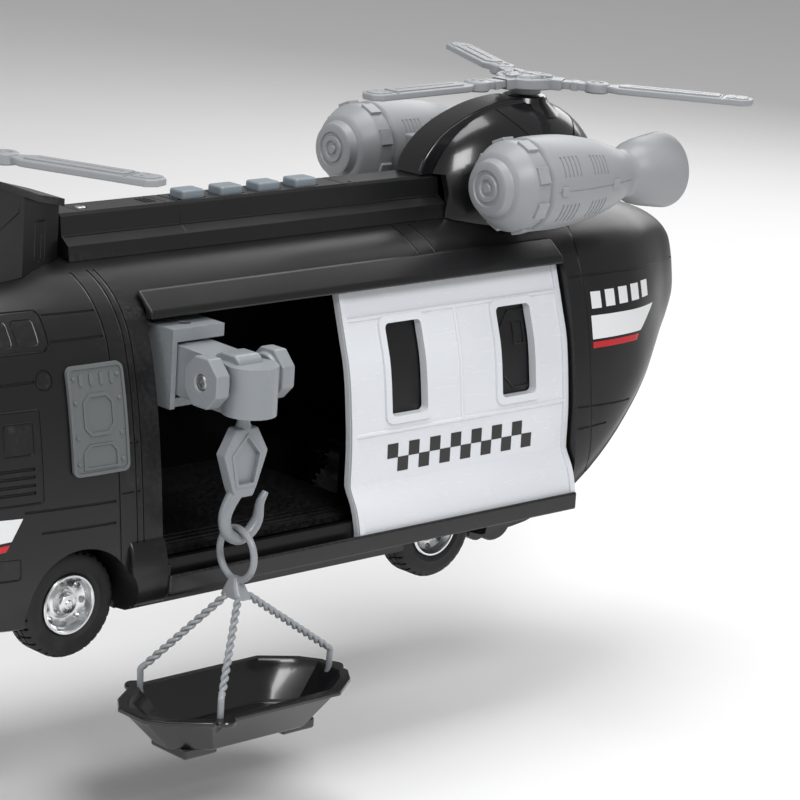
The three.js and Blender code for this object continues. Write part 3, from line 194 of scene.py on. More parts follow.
def rounded(low: tuple[float, float], high: tuple[float, float], corner: float, steps: int = 4) -> list:
    """A rectangle's outline with round corners.

    Args:
        low: Its lowest corner.
        high: Its highest corner.
        corner: Radius of the corners.
        steps: Sides of each quarter circle.

    Returns:
        The outline's points, anticlockwise.
    """
    centres = [
        (high[0] - corner, high[1] - corner),
        (low[0] + corner, high[1] - corner),
        (low[0] + corner, low[1] + corner),
        (high[0] - corner, low[1] + corner),
    ]
    points = []
    for quarter, (u, v) in enumerate(centres):
        for i in range(steps + 1):
            angle = math.pi / 2 * (quarter + i / steps)
            points.append((u + corner * math.cos(angle), v + corner * math.sin(angle)))
    return points


# ---------------------------------------------------------------------------------------------- mesh work


class Boolean(Enum):
    """How one closed form is combined with others."""

    JOIN = "UNION"
    CUT = "DIFFERENCE"
    KEEP = "INTERSECT"


class Form:
    """A closed mesh in the making, in millimetres."""

    def __init__(self) -> None:
        """Starts an empty form."""
        self.bm = bmesh.new()

    @classmethod
    def prism(cls, axis: Axis, outline: Outline, low: float, high: float) -> "Form":
        """Pushes a flat outline along an axis.

        Args:
            axis: Direction of the push.
            outline: The flat corners in order.
            low: Where it starts.
            high: Where it ends.

        Returns:
            The closed prism.
        """
        form = cls()
        face = form.bm.faces.new([form.bm.verts.new(axis.place(u, v, low)) for u, v in outline])
        raised = bmesh.ops.extrude_face_region(form.bm, geom=[face])["geom"]
        moved = [each for each in raised if isinstance(each, bmesh.types.BMVert)]
        bmesh.ops.translate(form.bm, vec=axis.direction * (high - low), verts=moved)
        return form.outward()

    @classmethod
    def block(cls, low: Sequence[float], high: Sequence[float]) -> "Form":
        """A rectangular block between two corners."""
        outline = [(low[0], low[1]), (high[0], low[1]), (high[0], high[1]), (low[0], high[1])]
        return cls.prism(Axis.Z, outline, low[2], high[2])

    @classmethod
    def turned(
        cls, axis: Axis, profile: Outline, centre: Sequence[float], steps: int = 48, ring: bool = False
    ) -> "Form":
        """Turns a profile about an axis.

        Args:
            axis: The axis' direction.
            profile: Radius and height of each point, from the axis back to it, or round a ring's section.
            centre: The point that heights are counted from.
            steps: Sides of the full turn.
            ring: Whether the profile closes on itself clear of the axis.

        Returns:
            The closed form.
        """
        form = cls()
        places = [axis.place(r, 0, h) if axis != Axis.X else Vector((h, r, 0)) for r, h in profile]
        points = [form.bm.verts.new(place) for place in places]
        pairs = list(zip(points, points[1:])) + ([(points[-1], points[0])] if ring else [])
        edges = [form.bm.edges.new(pair) for pair in pairs]
        bmesh.ops.spin(
            form.bm, geom=points + edges, cent=(0, 0, 0), axis=axis.direction, dvec=(0, 0, 0),
            angle=FULL_TURN, steps=steps, use_merge=True, use_duplicate=False,
        )
        bmesh.ops.remove_doubles(form.bm, verts=form.bm.verts, dist=1e-4)
        bmesh.ops.dissolve_degenerate(form.bm, edges=form.bm.edges, dist=1e-4)
        bmesh.ops.translate(form.bm, vec=Vector(centre), verts=form.bm.verts)
        return form.outward()

    @classmethod
    def rod(
        cls, axis: Axis, radius: float, low: float, high: float, centre: Sequence[float], steps: int = 48
    ) -> "Form":
        """A plain round rod along an axis, its ends counted from a centre."""
        return cls.turned(axis, [(0, low), (radius, low), (radius, high), (0, high)], centre, steps)

    @classmethod
    def sheet(cls, columns: int, rows: int, thickness: float, at: Callable[[float, float], Vector]) -> "Form":
        """A thin sheet on a surface.

        Args:
            columns: Cells across it.
            rows: Cells up it.
            thickness: Its thickness.
            at: The surface's point for a share of the way across and up.

        Returns:
            The closed sheet.
        """
        form = cls()
        bmesh.ops.create_grid(form.bm, x_segments=columns, y_segments=rows, size=0.5)
        for vert in form.bm.verts:
            vert.co = at(vert.co.x + 0.5, vert.co.y + 0.5)
        bmesh.ops.solidify(form.bm, geom=form.bm.faces[:], thickness=thickness)
        return form.outward()

    @classmethod
    def lofted(cls, rings: Sequence[Sequence[Vector]]) -> "Form":
        """Skins a row of rings and closes both ends.

        Args:
            rings: Closed rings that all have as many points.

        Returns:
            The closed form.
        """
        form = cls()
        current = [form.bm.verts.new(point) for point in rings[0]]
        start = form.bm.faces.new(current)
        edges = list(start.edges)
        for ring in rings[1:]:
            made = bmesh.ops.extrude_edge_only(form.bm, edges=edges)["geom"]
            fresh = {each for each in made if isinstance(each, bmesh.types.BMVert)}
            current = [
                next(edge.other_vert(vert) for edge in vert.link_edges if edge.other_vert(vert) in fresh)
                for vert in current
            ]
            for vert, point in zip(current, ring):
                vert.co = point
            edges = [
                each for each in made if isinstance(each, bmesh.types.BMEdge) and set(each.verts) <= fresh
            ]
        form.bm.faces.new(current)
        return form.outward()

    @classmethod
    def tube(
        cls, path: Sequence[Vector], radius: float | Sequence[float], sides: int = 12, turn: float = 0.0
    ) -> "Form":
        """Sweeps a round section along a path.

        Args:
            path: The path's points.
            radius: The section's radius, or one for each point.
            sides: Sides of the section.
            turn: Degrees that the section is turned by.

        Returns:
            The closed tube.
        """
        radii = [radius] * len(path) if isinstance(radius, (int, float)) else list(radius)
        heading = (path[1] - path[0]).normalized()
        across = heading.orthogonal().normalized()
        rings = []
        for i, point in enumerate(path):
            ahead = (path[min(i + 1, len(path) - 1)] - path[max(i - 1, 0)]).normalized()
            across = (across - ahead * across.dot(ahead)).normalized()
            other = ahead.cross(across)
            rings.append([point + across * u + other * v for u, v in regular(sides, radii[i], turn)])
        return cls.lofted(rings)

    @classmethod
    def loop(cls, path: Sequence[Vector], radius: float, sides: int = 8) -> "Form":
        """Sweeps a round section round a closed path, whose last point isn't its first.

        Args:
            path: The path's points.
            radius: The section's radius.
            sides: Sides of the section.

        Returns:
            The closed ring.
        """
        form = cls()
        count = len(path)
        across = (path[1] - path[0]).orthogonal().normalized()
        loops = []
        for i, point in enumerate(path):
            ahead = (path[(i + 1) % count] - path[i - 1]).normalized()
            across = (across - ahead * across.dot(ahead)).normalized()
            other = ahead.cross(across)
            verts = [form.bm.verts.new(point + across * u + other * v) for u, v in regular(sides, radius)]
            loops.append([form.bm.edges.new((a, b)) for a, b in zip(verts, verts[1:] + verts[:1])])
        for first, second in zip(loops, loops[1:] + loops[:1]):
            bmesh.ops.bridge_loops(form.bm, edges=first + second)
        return form.outward()

    @classmethod
    def from_node(cls, node: str) -> "Form":
        """A merged copy of a frame node's mesh, in millimetres."""
        form = cls()
        form.bm.from_mesh(frame["nodes"][node].data)
        bmesh.ops.scale(form.bm, vec=(1 / MM,) * 3, verts=form.bm.verts)
        bmesh.ops.remove_doubles(form.bm, verts=form.bm.verts, dist=1e-3)
        bmesh.ops.dissolve_limit(
            form.bm, angle_limit=math.radians(1), verts=form.bm.verts, edges=form.bm.edges
        )
        return form

    def span(self, axis: Axis) -> tuple[float, float]:
        """The form's lowest and highest place along an axis."""
        places = [vert.co[axis.value] for vert in self.bm.verts]
        return min(places), max(places)

    def outward(self) -> "Form":
        """Turns every face outwards."""
        bmesh.ops.recalc_face_normals(self.bm, faces=self.bm.faces)
        return self

    def moved(self, offset: Sequence[float]) -> "Form":
        """Shifts the form."""
        bmesh.ops.translate(self.bm, vec=Vector(offset), verts=self.bm.verts)
        return self

    def rotated(self, axis: Axis, degrees: float, centre: Sequence[float] = (0, 0, 0)) -> "Form":
        """Turns the form about an axis through a point."""
        turn = Matrix.Rotation(math.radians(degrees), 3, axis.direction)
        bmesh.ops.rotate(self.bm, cent=Vector(centre), matrix=turn, verts=self.bm.verts)
        return self

    def mirrored(self) -> "Form":
        """Swaps port and starboard."""
        bmesh.ops.scale(self.bm, vec=(1, -1, 1), verts=self.bm.verts)
        return self.outward()

    def eased(self, width: float, segments: int = 2, limit: float = 30.0) -> "Form":
        """Rounds the edges off.

        Args:
            width: Width of the rounding.
            segments: Its number of steps.
            limit: Smallest angle of an edge that is rounded, in degrees.

        Returns:
            The same form.
        """
        sharp = [
            edge for edge in self.bm.edges
            if len(edge.link_faces) == 2 and edge.calc_face_angle(0) > math.radians(limit)
        ]
        bmesh.ops.bevel(
            self.bm, geom=sharp, offset=width, offset_type="OFFSET", segments=segments, profile=0.5,
            affect="EDGES", clamp_overlap=True, material=-1,
        )
        return self

    def halved(self, axis: Axis, place: float, above: bool) -> "Form":
        """Keeps what lies on one side of a plane and closes the cut.

        Args:
            axis: The plane's normal.
            place: Where it stands along the axis.
            above: Whether the side further along the axis is kept.

        Returns:
            The same form.
        """
        normal = axis.direction * (-1 if above else 1)
        everything = [*self.bm.verts, *self.bm.edges, *self.bm.faces]
        bmesh.ops.bisect_plane(
            self.bm, geom=everything, dist=1e-5, plane_co=axis.direction * place, plane_no=normal,
            clear_outer=True,
        )
        rim = [edge for edge in self.bm.edges if len(edge.link_faces) == 1]
        bmesh.ops.triangle_fill(self.bm, edges=rim, use_beauty=True)
        return self.outward()

    def with_copy(self, other: "Form") -> "Form":
        """Takes in another form's faces as they are."""
        spare = bpy.data.meshes.new("spare")
        other.bm.to_mesh(spare)
        self.bm.from_mesh(spare)
        bpy.data.meshes.remove(spare)
        return self

    def copy(self) -> "Form":
        """A form of its own with the same faces."""
        return Form().with_copy(self)

    def _loose(self) -> bpy.types.Object:
        """The form as an undressed object that other forms are combined with."""
        mesh = bpy.data.meshes.new("loose")
        self.bm.to_mesh(mesh)
        loose = bpy.data.objects.new("loose", mesh)
        bpy.context.collection.objects.link(loose)
        return loose

    def combined(self, others: Iterable["Form"], how: Boolean) -> "Form":
        """Joins, cuts or keeps what is common with other closed forms.

        Args:
            others: The other forms, taken one after another.
            how: The operation.

        Returns:
            The combined form.
        """
        host = self._loose()
        guests = [other._loose() for other in others]
        for guest in guests:
            step = host.modifiers.new("step", "BOOLEAN")
            step.operation = how.value
            step.solver = "EXACT"
            step.object = guest
        evaluated = host.evaluated_get(bpy.context.evaluated_depsgraph_get())
        result = Form()
        result.bm.from_mesh(evaluated.to_mesh())
        evaluated.to_mesh_clear()
        for spare in [host, *guests]:
            bpy.data.objects.remove(spare)
        bmesh.ops.remove_doubles(result.bm, verts=result.bm.verts, dist=1e-4)
        bmesh.ops.dissolve_degenerate(result.bm, edges=result.bm.edges, dist=1e-4)
        return result

    def cut(self, *others: "Form") -> "Form":
        """Takes other forms away."""
        return self.combined(others, Boolean.CUT)

    def join(self, *others: "Form") -> "Form":
        """Adds other forms."""
        return self.combined(others, Boolean.JOIN)

    def keep(self, *others: "Form") -> "Form":
        """Keeps what lies inside other forms."""
        return self.combined(others, Boolean.KEEP)

    def piece(
        self, name: str, body: str, finish: "Finish", replaces: Sequence[str] = (), smooth: float = 32.0,
    ) -> bpy.types.Object:
        """Makes the form a finished piece of the model.

        Args:
            name: The piece's name.
            body: The body it moves with.
            finish: What it is made of.
            replaces: Frame nodes that it stands for.
            smooth: Angle in degrees over which an edge is drawn sharp.

        Returns:
            The object, in metres.
        """
        bmesh.ops.scale(self.bm, vec=(MM,) * 3, verts=self.bm.verts)
        mesh = bpy.data.meshes.new(name)
        self.bm.to_mesh(mesh)
        self.bm.free()
        mesh.shade_smooth()
        mesh.set_sharp_from_angle(angle=math.radians(smooth))
        made = bpy.data.objects.new(name, mesh)
        bpy.context.collection.objects.link(made)
        normals = made.modifiers.new("normals", "WEIGHTED_NORMAL")
        normals.keep_sharp = True
        mesh.materials.append(finish.material())
        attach(made, body)
        if replaces:
            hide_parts(*replaces)
        LOG.info("%s: %d faces on %s", name, len(mesh.polygons), body)
        return made


# ---------------------------------------------------------------------------------------------- shader work


class Wire:
    """A value in a material's node tree. Sums and products of wires add the nodes that work them out."""

    def __init__(self, graph: "Graph", socket: bpy.types.NodeSocket) -> None:
        """Holds an output socket of a graph."""
        self.graph = graph
        self.socket = socket

    def _math(self, operation: str, first: "Wire | float", second: "Wire | float") -> "Wire":
        """A Math node on two values."""
        return self.graph.wire("ShaderNodeMath", {"operation": operation}, {0: first, 1: second})

    def __add__(self, other: "Wire | float") -> "Wire":
        """self + other"""
        return self._math("ADD", self, other)

    def __radd__(self, other: float) -> "Wire":
        """other + self"""
        return self._math("ADD", other, self)

    def __sub__(self, other: "Wire | float") -> "Wire":
        """self - other"""
        return self._math("SUBTRACT", self, other)

    def __rsub__(self, other: float) -> "Wire":
        """other - self"""
        return self._math("SUBTRACT", other, self)

    def __mul__(self, other: "Wire | float") -> "Wire":
        """self * other"""
        return self._math("MULTIPLY", self, other)

    def __rmul__(self, other: float) -> "Wire":
        """other * self"""
        return self._math("MULTIPLY", other, self)

    def ramp(self, low: float, high: float) -> "Wire":
        """0 below low, 1 above high and a smooth rise between them."""
        inputs = {"Value": self, "From Min": low, "From Max": high}
        return self.graph.wire("ShaderNodeMapRange", {"interpolation_type": "SMOOTHSTEP"}, inputs)

    def blend(self, low: Colour, high: Colour) -> "Wire":
        """A colour between two, by this value."""
        settings = {"data_type": "RGBA"}
        inputs = {0: self, 6: (*low, 1.0), 7: (*high, 1.0)}
        return self.graph.wire("ShaderNodeMix", settings, inputs, output=2)


class Graph:
    """The node tree of one material, with its main shader."""

    def __init__(self, name: str) -> None:
        """Starts a material."""
        self.material = bpy.data.materials.new(name)
        self.material.use_nodes = True
        self.tree = self.material.node_tree
        self.tree.nodes.clear()
        self.shader = self.node("ShaderNodeBsdfPrincipled")
        output = self.node("ShaderNodeOutputMaterial")
        self.tree.links.new(self.shader.outputs[0], output.inputs["Surface"])
        self.place = self.wire("ShaderNodeTexCoord", output="Object")

    def node(self, kind: str, settings: dict | None = None, inputs: dict | None = None) -> bpy.types.Node:
        """Adds any node.

        Args:
            kind: The node's type.
            settings: Its settings by name, which are set first.
            inputs: Values or wires of its sockets, by name or number.

        Returns:
            The node.
        """
        made = self.tree.nodes.new(kind)
        for key, value in (settings or {}).items():
            setattr(made, key, value)
        for key, value in (inputs or {}).items():
            if isinstance(value, Wire):
                self.tree.links.new(value.socket, made.inputs[key])
            else:
                made.inputs[key].default_value = value
        return made

    def wire(
        self, kind: str, settings: dict | None = None, inputs: dict | None = None, output: int | str = 0,
    ) -> Wire:
        """Adds any node and holds one of its outputs."""
        return Wire(self, self.node(kind, settings, inputs).outputs[output])

    def noise(self, size: float, detail: float = 2.0, stretch: Sequence[float] = (1, 1, 1)) -> Wire:
        """Soft noise over the piece.

        Args:
            size: Size of its blotches in millimetres.
            detail: How much finer noise it also holds.
            stretch: How much longer the blotches are along X, Y and Z.

        Returns:
            A value from 0 to 1.
        """
        scale = tuple(1 / (size * MM * each) for each in stretch)
        placed = self.wire("ShaderNodeMapping", None, {"Vector": self.place, "Scale": scale})
        return self.wire("ShaderNodeTexNoise", None, {"Vector": placed, "Scale": 1.0, "Detail": detail})

    def bump(self, height: Wire, depth: float, strength: float = 1.0) -> None:
        """Bends the shader's normal by a height from 0 to 1 that is some millimetres deep."""
        inputs = {"Height": height, "Distance": depth * MM, "Strength": strength}
        self.feed("Normal", self.wire("ShaderNodeBump", None, inputs))

    def feed(self, socket: str, value: Wire | float | tuple) -> None:
        """Sets or links a socket of the main shader."""
        if isinstance(value, Wire):
            self.tree.links.new(value.socket, self.shader.inputs[socket])
        else:
            self.shader.inputs[socket].default_value = value


@dataclass(frozen=True)
class Finish:
    """What a piece is made of: moulded plastic unless a subclass says otherwise."""

    name: str
    slot: str
    colour: Colour
    roughness: float = 0.45
    spread: float = 0.10  # how far handling changes the roughness
    coat: float = 0.0
    grain: float = 0.25  # size of the moulded grain in millimetres
    grain_depth: float = 0.012
    worn: float = 0.25  # how much lighter rubbed edges are

    def material(self) -> bpy.types.Material:
        """The material, made once."""
        return bpy.data.materials.get(self.name) or self._made()

    def _made(self) -> bpy.types.Material:
        """Builds the material's nodes."""
        graph = Graph(self.name)
        self._dress(graph)
        return graph.material

    def _shade(self, factor: float) -> Colour:
        """The colour, lighter or darker."""
        return tuple(min(1.0, each * factor) for each in self.colour)

    def _dress(self, graph: Graph) -> None:
        """Moulded plastic: faint flow marks, handled patches, fine grain and rubbed edges."""
        flow = graph.noise(28, 3, (2.5, 1, 1))
        handled = graph.noise(13, 4)
        edge = graph.wire("ShaderNodeNewGeometry", output="Pointiness").ramp(0.53, 0.62)
        rub = edge * graph.noise(1.6, 3).ramp(0.35, 0.7) * self.worn
        rubbed = tuple(min(1.0, each * 1.25 + 0.06) for each in self.colour)
        base = flow.blend(self._shade(0.93), self._shade(1.07))
        mix = {0: rub, 6: base, 7: (*rubbed, 1.0)}
        graph.feed("Base Color", graph.wire("ShaderNodeMix", {"data_type": "RGBA"}, mix, output=2))
        scuffs = graph.noise(0.9, 2, (9, 1, 1)).ramp(0.6, 0.75) * 0.05
        graph.feed("Roughness", (handled - 0.5) * self.spread + self.roughness + scuffs + rub * 0.15)
        graph.feed("Coat Weight", self.coat)
        graph.shader.inputs["Coat Roughness"].default_value = 0.06
        graph.bump(graph.noise(self.grain, 2) * 0.8 + handled * 0.2, self.grain_depth, 0.8)


@dataclass(frozen=True)
class Plated(Finish):
    """Plastic with a bright plated skin."""

    def _dress(self, graph: Graph) -> None:
        """A metal skin with faint haze, hairline scratches and orange peel."""
        haze = graph.noise(7, 4)
        hair = graph.noise(0.35, 2, (1, 1, 14)).ramp(0.62, 0.75)
        graph.feed("Base Color", haze.blend(self._shade(0.92), self._shade(1.04)))
        graph.feed("Metallic", 1.0)
        graph.feed("Roughness", haze * self.spread + self.roughness + hair * 0.08)
        graph.bump(graph.noise(1.4, 2), self.grain_depth, 0.6)


@dataclass(frozen=True)
class Rubber(Finish):
    """Soft matt tyre plastic with a dusty bloom."""

    def _dress(self, graph: Graph) -> None:
        """Matt, finely pitted and dusty where it rolls."""
        bloom = graph.noise(4.5, 4).ramp(0.42, 0.75)
        graph.feed("Base Color", bloom.blend(self._shade(0.85), self._shade(1.9)))
        graph.feed("Roughness", bloom * self.spread + self.roughness)
        pits = graph.noise(0.22, 3)
        graph.bump(pits, self.grain_depth, 0.9)


@dataclass(frozen=True)
class Steel(Finish):
    """Bare turned or stamped steel."""

    def _dress(self, graph: Graph) -> None:
        """Drawn lines and a little tarnish."""
        drawn = graph.noise(0.12, 2, (12, 1, 1))
        tarnish = graph.noise(5, 4).ramp(0.4, 0.8)
        graph.feed("Base Color", tarnish.blend(self._shade(1.0), self._shade(0.7)))
        graph.feed("Metallic", 1.0)
        graph.feed("Roughness", drawn * 0.12 + tarnish * self.spread + self.roughness)
        graph.bump(drawn, self.grain_depth, 0.5)


HULL_BLACK = Finish(
    "hull_black_plastic", "hull_black", (0.0068, 0.0068, 0.0074), 0.31, 0.10, 0.0, 0.3, 0.006, 0.3
)
GLOSS_BLACK = Finish(
    "gloss_black_plastic", "gloss_black", (0.006, 0.006, 0.007), 0.2, 0.08, 0.35, 0.6, 0.002, 0.15
)
DOOR_WHITE = Finish("door_white_plastic", "door_white", (0.76, 0.78, 0.82), 0.26, 0.08, 0.3, 0.8, 0.002, 0.0)
ROTOR_GREY = Finish("light_grey_plastic", "rotor_grey", (0.30, 0.31, 0.325), 0.40, 0.10, 0.0, 0.3, 0.006, 0.2)
BUTTON_GREY = Finish("button_plastic", "button_grey", (0.20, 0.235, 0.265), 0.38, 0.08, 0.1, 0.3, 0.004, 0.2)
TYRE_BLACK = Rubber("tyre_rubber", "tyre_black", (0.012, 0.012, 0.012), 0.62, 0.2, 0.0, 0.2, 0.03, 0.0)
RIM_SILVER = Plated("plated_silver", "rim_silver", (0.80, 0.81, 0.82), 0.16, 0.10, 0.0, 1.0, 0.004, 0.0)
BARE_STEEL = Steel("bare_steel", "steel", (0.55, 0.55, 0.56), 0.26, 0.2, 0.0, 0.1, 0.004, 0.0)
SLING_GREY = Finish("sling_plastic", "sling_grey", (0.30, 0.315, 0.335), 0.34, 0.08, 0.15, 0.3, 0.004, 0.25)
TRIM_BEIGE = Finish("trim_beige_plastic", "trim_beige", (0.34, 0.28, 0.13), 0.6, 0.1, 0.0, 0.3, 0.01, 0.1)
BOARD_GREEN = Finish("solder_mask", "board_green", (0.02, 0.14, 0.045), 0.35, 0.1, 0.2, 0.3, 0.003, 0.0)
DARK_WINDOW = Finish("dark_window", "dark_window", (0.008, 0.009, 0.012), 0.08, 0.05, 0.6, 1.5, 0.001, 0.0)
WINCH_GREY = Finish("winch_plastic", "rotor_grey", (0.26, 0.28, 0.30), 0.33, 0.08, 0.15, 0.3, 0.005, 0.2)
# Painted shade: the hatch is the same grey plastic as the rotors, drawn much darker to hold the shade that it
# lies in.
HATCH_SHADED_GREY = Finish("hatch_plastic_painted_shade", "rotor_grey", (0.13, 0.14, 0.143), 0.42, 0.10, 0.0, 0.3, 0.006, 0.3)
MARK_WHITE = Finish("printed_white", "door_white", (0.82, 0.83, 0.84), 0.35, 0.08, 0.1, 0.4, 0.002, 0.0)
MARK_RED = Finish("printed_red", "door_white", (0.55, 0.012, 0.02), 0.35, 0.08, 0.1, 0.4, 0.002, 0.0)
MARK_BLACK = Finish("printed_black", "gloss_black", (0.008, 0.008, 0.009), 0.32, 0.08, 0.1, 0.4, 0.002, 0.0)


# ---------------------------------------------------------------------------------------------- hull


@dataclass
class HullShape:
    """The hull's skin: a section carried along stations of changing width and height."""

    half_width: float = 51.0
    wall: float = 2.2
    section: tuple = (
        (0, 1), (0.275, 0.985), (0.53, 0.933), (0.715, 0.845), (0.82, 0.72), (0.91, 0.525),
        (0.97, 0.31), (1, 0.14), (0.97, 0.045), (0.86, 0.007), (0, 0),
    )
    fuselage: tuple = (
        (-232, 0.1, 87, 82), (-230.4, 0.24, 94, 77), (-227, 0.345, 99, 71), (-221, 0.43, 103, 65.5),
        (-213, 0.525, 106, 60), (-203, 0.655, 108.5, 53.5), (-193, 0.775, 110.2, 46.5),
        (-181, 0.885, 111.2, 38), (-165, 0.965, 112, 25), (-148, 1, 112.4, 13), (-128, 1, 112.4, 3),
        (-108, 1, 112.4, 0), (-80, 1, 112.4, 0), (-45, 1, 112.4, 0), (10, 1, 112.4, 0), (65, 1, 112.4, 0),
        (85, 0.985, 112.4, 0), (105, 0.95, 111.4, 0), (118, 0.91, 109, 0.8),
    )
    nose: tuple = (
        (118, 0.91, 109, 0.8), (127, 0.87, 103, 1.5), (136, 0.8, 94, 3.5), (144, 0.71, 83, 7),
        (150, 0.6, 72, 11.5), (154, 0.47, 62.5, 17), (156.2, 0.33, 55, 22), (157, 0.2, 49, 27),
    )
    section_steps: int = 34

    def _half(self, width: float, roof: float, belly: float, inset: float) -> list[tuple[float, float]]:
        """Half of one section from roof to belly, drawn in by a wall."""
        knots = [Vector(point) for point in self.section]
        steps = self.section_steps
        points = []
        for i in range(steps + 1):
            share = catmull(knots, (len(knots) - 1) * i / steps)
            points.append(Vector((share.x * width * self.half_width, belly + share.y * (roof - belly))))
        drawn = []
        for i, point in enumerate(points):
            along = points[min(i + 1, steps)] - points[max(i - 1, 0)]
            inward = Vector((along.y, -along.x)).normalized() * inset
            on_centre = i in (0, steps)
            drawn.append((0.0 if on_centre else point.x + inward.x, point.y + inward.y))
        return drawn

    def ring(self, station: Sequence[float], inset: float = 0.0) -> list[Vector]:
        """One closed ring of the skin.

        Args:
            station: Place, share of the full width, roof height and belly height.
            inset: How far it is drawn in.

        Returns:
            The ring's points, down the port side and up the starboard side.
        """
        half = self._half(*station[1:], inset)
        port = [Vector((station[0], y, z)) for y, z in half]
        starboard = [Vector((station[0], -y, z)) for y, z in reversed(half[1:-1])]
        return port + starboard

    def stations(self, knots: Sequence, per_span: int) -> list[Vector]:
        """Stations between the given ones, on a smooth curve."""
        return smooth_path(knots, (len(knots) - 1) * per_span)

    def solid(self, knots: Sequence, inset: float = 0.0, per_span: int = 3, shift: float = 0.0) -> Form:
        """The space inside the skin, drawn in by a wall and shifted along."""
        rings = [self.ring(station, inset) for station in self.stations(knots, per_span)]
        return Form.lofted(rings).moved((shift, 0, 0))

    def at(self, x: float) -> Vector:
        """The station at a place along the hull."""
        knots = [Vector(each) for each in (*self.fuselage, *self.nose[1:])]
        low, high = 0.0, float(len(knots) - 1)
        for _ in range(30):
            trial = (low + high) / 2
            if catmull(knots, trial).x < x:
                low = trial
            else:
                high = trial
        return catmull(knots, low)

    def skin(self, x: float, z: float, lift: float = 0.0) -> Vector:
        """A point of the port skin.

        Args:
            x: Its place along the hull.
            z: Its height.
            lift: How far it stands off the skin.

        Returns:
            The point, or the ridge of the roof where the skin is lower than z.
        """
        half = self._half(*self.at(x)[1:], -lift)
        for (y0, z0), (y1, z1) in zip(half, half[1:]):
            if z0 >= z >= z1 and z0 > z1:
                return Vector((x, y0 + (y1 - y0) * (z0 - z) / (z0 - z1), z))
        return Vector((x, 0.0, half[0][1]))

    def hoop(
        self, x: float, high: float, low: float, lean: Callable[[float], float] | None = None
    ) -> list[Vector]:
        """A line round the port side.

        Args:
            x: Place along the hull.
            high: Share of the way round where it starts, 0 at the roof.
            low: Share where it ends, 1 at the belly.
            lean: Shift along X by share of the way round.

        Returns:
            The line's points on the skin.
        """
        steps = 26
        points = []
        for i in range(steps + 1):
            share = high + (low - high) * i / steps
            place = x + (lean(share) if lean else 0.0)
            half = self._half(*self.at(place)[1:], 0.0)
            at = share * self.section_steps
            index = min(int(at), self.section_steps - 1)
            (y0, z0), (y1, z1) = half[index], half[index + 1]
            t = at - index
            points.append(Vector((place, y0 + (y1 - y0) * t, z0 + (z1 - z0) * t)))
        return points

    def line(self, corners_xz: Outline, closed: bool = False, step: float = 3.0) -> list[Vector]:
        """A line on the port skin through corners given by place and height."""
        return traced(corners_xz, self.skin, closed, step)

    def patch(self, corners_xz: Outline, lift: float, thickness: float, cells: int = 12) -> Form:
        """A thin sheet that lies on the port skin.

        Args:
            corners_xz: Its four corners, by place and height, in order round it.
            lift: How far its outer face stands off the skin.
            thickness: Its thickness.
            cells: Rows and columns of its grid.

        Returns:
            The closed sheet.
        """
        a, b, c, d = (Vector(corner) for corner in corners_xz)

        def at(u: float, v: float) -> Vector:
            """The skin's point at a share between the corners."""
            flat = a.lerp(b, u).lerp(d.lerp(c, u), v)
            return self.skin(flat.x, flat.y, lift)

        return Form.sheet(cells, cells, thickness, at)


@dataclass
class DoorShape:
    """The door's curved section, which its bay in the hull follows."""

    outside: tuple = (
        (52.7, 9.6), (52.4, 13.5), (50.2, 21), (46.6, 27.2), (46, 30), (45.8, 41), (44.8, 52),
        (42.4, 68), (38.7, 80), (33.6, 95.6), (32.6, 98),
    )
    thickness: float = 2.4
    gap: float = 0.6

    def outline(
        self, out: float, depth: float, drop: float = 0.0, rise: float = 0.0
    ) -> list[tuple[float, float]]:
        """The section of a band along the door.

        Args:
            out: How far its outer face is pushed out.
            depth: How far its inner face lies inside the door's outer face.
            drop: How much further down it reaches.
            rise: How much further up it reaches.

        Returns:
            The band's outline as Y and Z.
        """
        (low_y, low_z), (high_y, high_z) = self.outside[0], self.outside[-1]
        knots = [(low_y, low_z - drop), *self.outside[1:-1], (high_y, high_z + rise)]
        curve = [tuple(point) for point in smooth_path(knots, 40)]
        return [(y + out, z) for y, z in curve] + [(y - depth, z) for y, z in reversed(curve)]

    def face(self, x: float, z: float, lift: float = 0.0) -> Vector:
        """A point of the door's outer face."""
        curve = smooth_path(self.outside, 80)
        for first, second in zip(curve, curve[1:]):
            if first.y <= z <= second.y:
                share = (z - first.y) / (second.y - first.y)
                return Vector((x, first.x + (second.x - first.x) * share + lift, z))
        return Vector((x, curve[-1].x + lift, z))

    def patch(self, low: Sequence[float], high: Sequence[float], lift: float, thickness: float) -> Form:
        """A thin sheet on the door's face between two corners."""
        (x0, z0), (x1, z1) = low, high
        return Form.sheet(
            2, 6, thickness, lambda u, v: self.face(x0 + (x1 - x0) * u, z0 + (z1 - z0) * v, lift)
        )


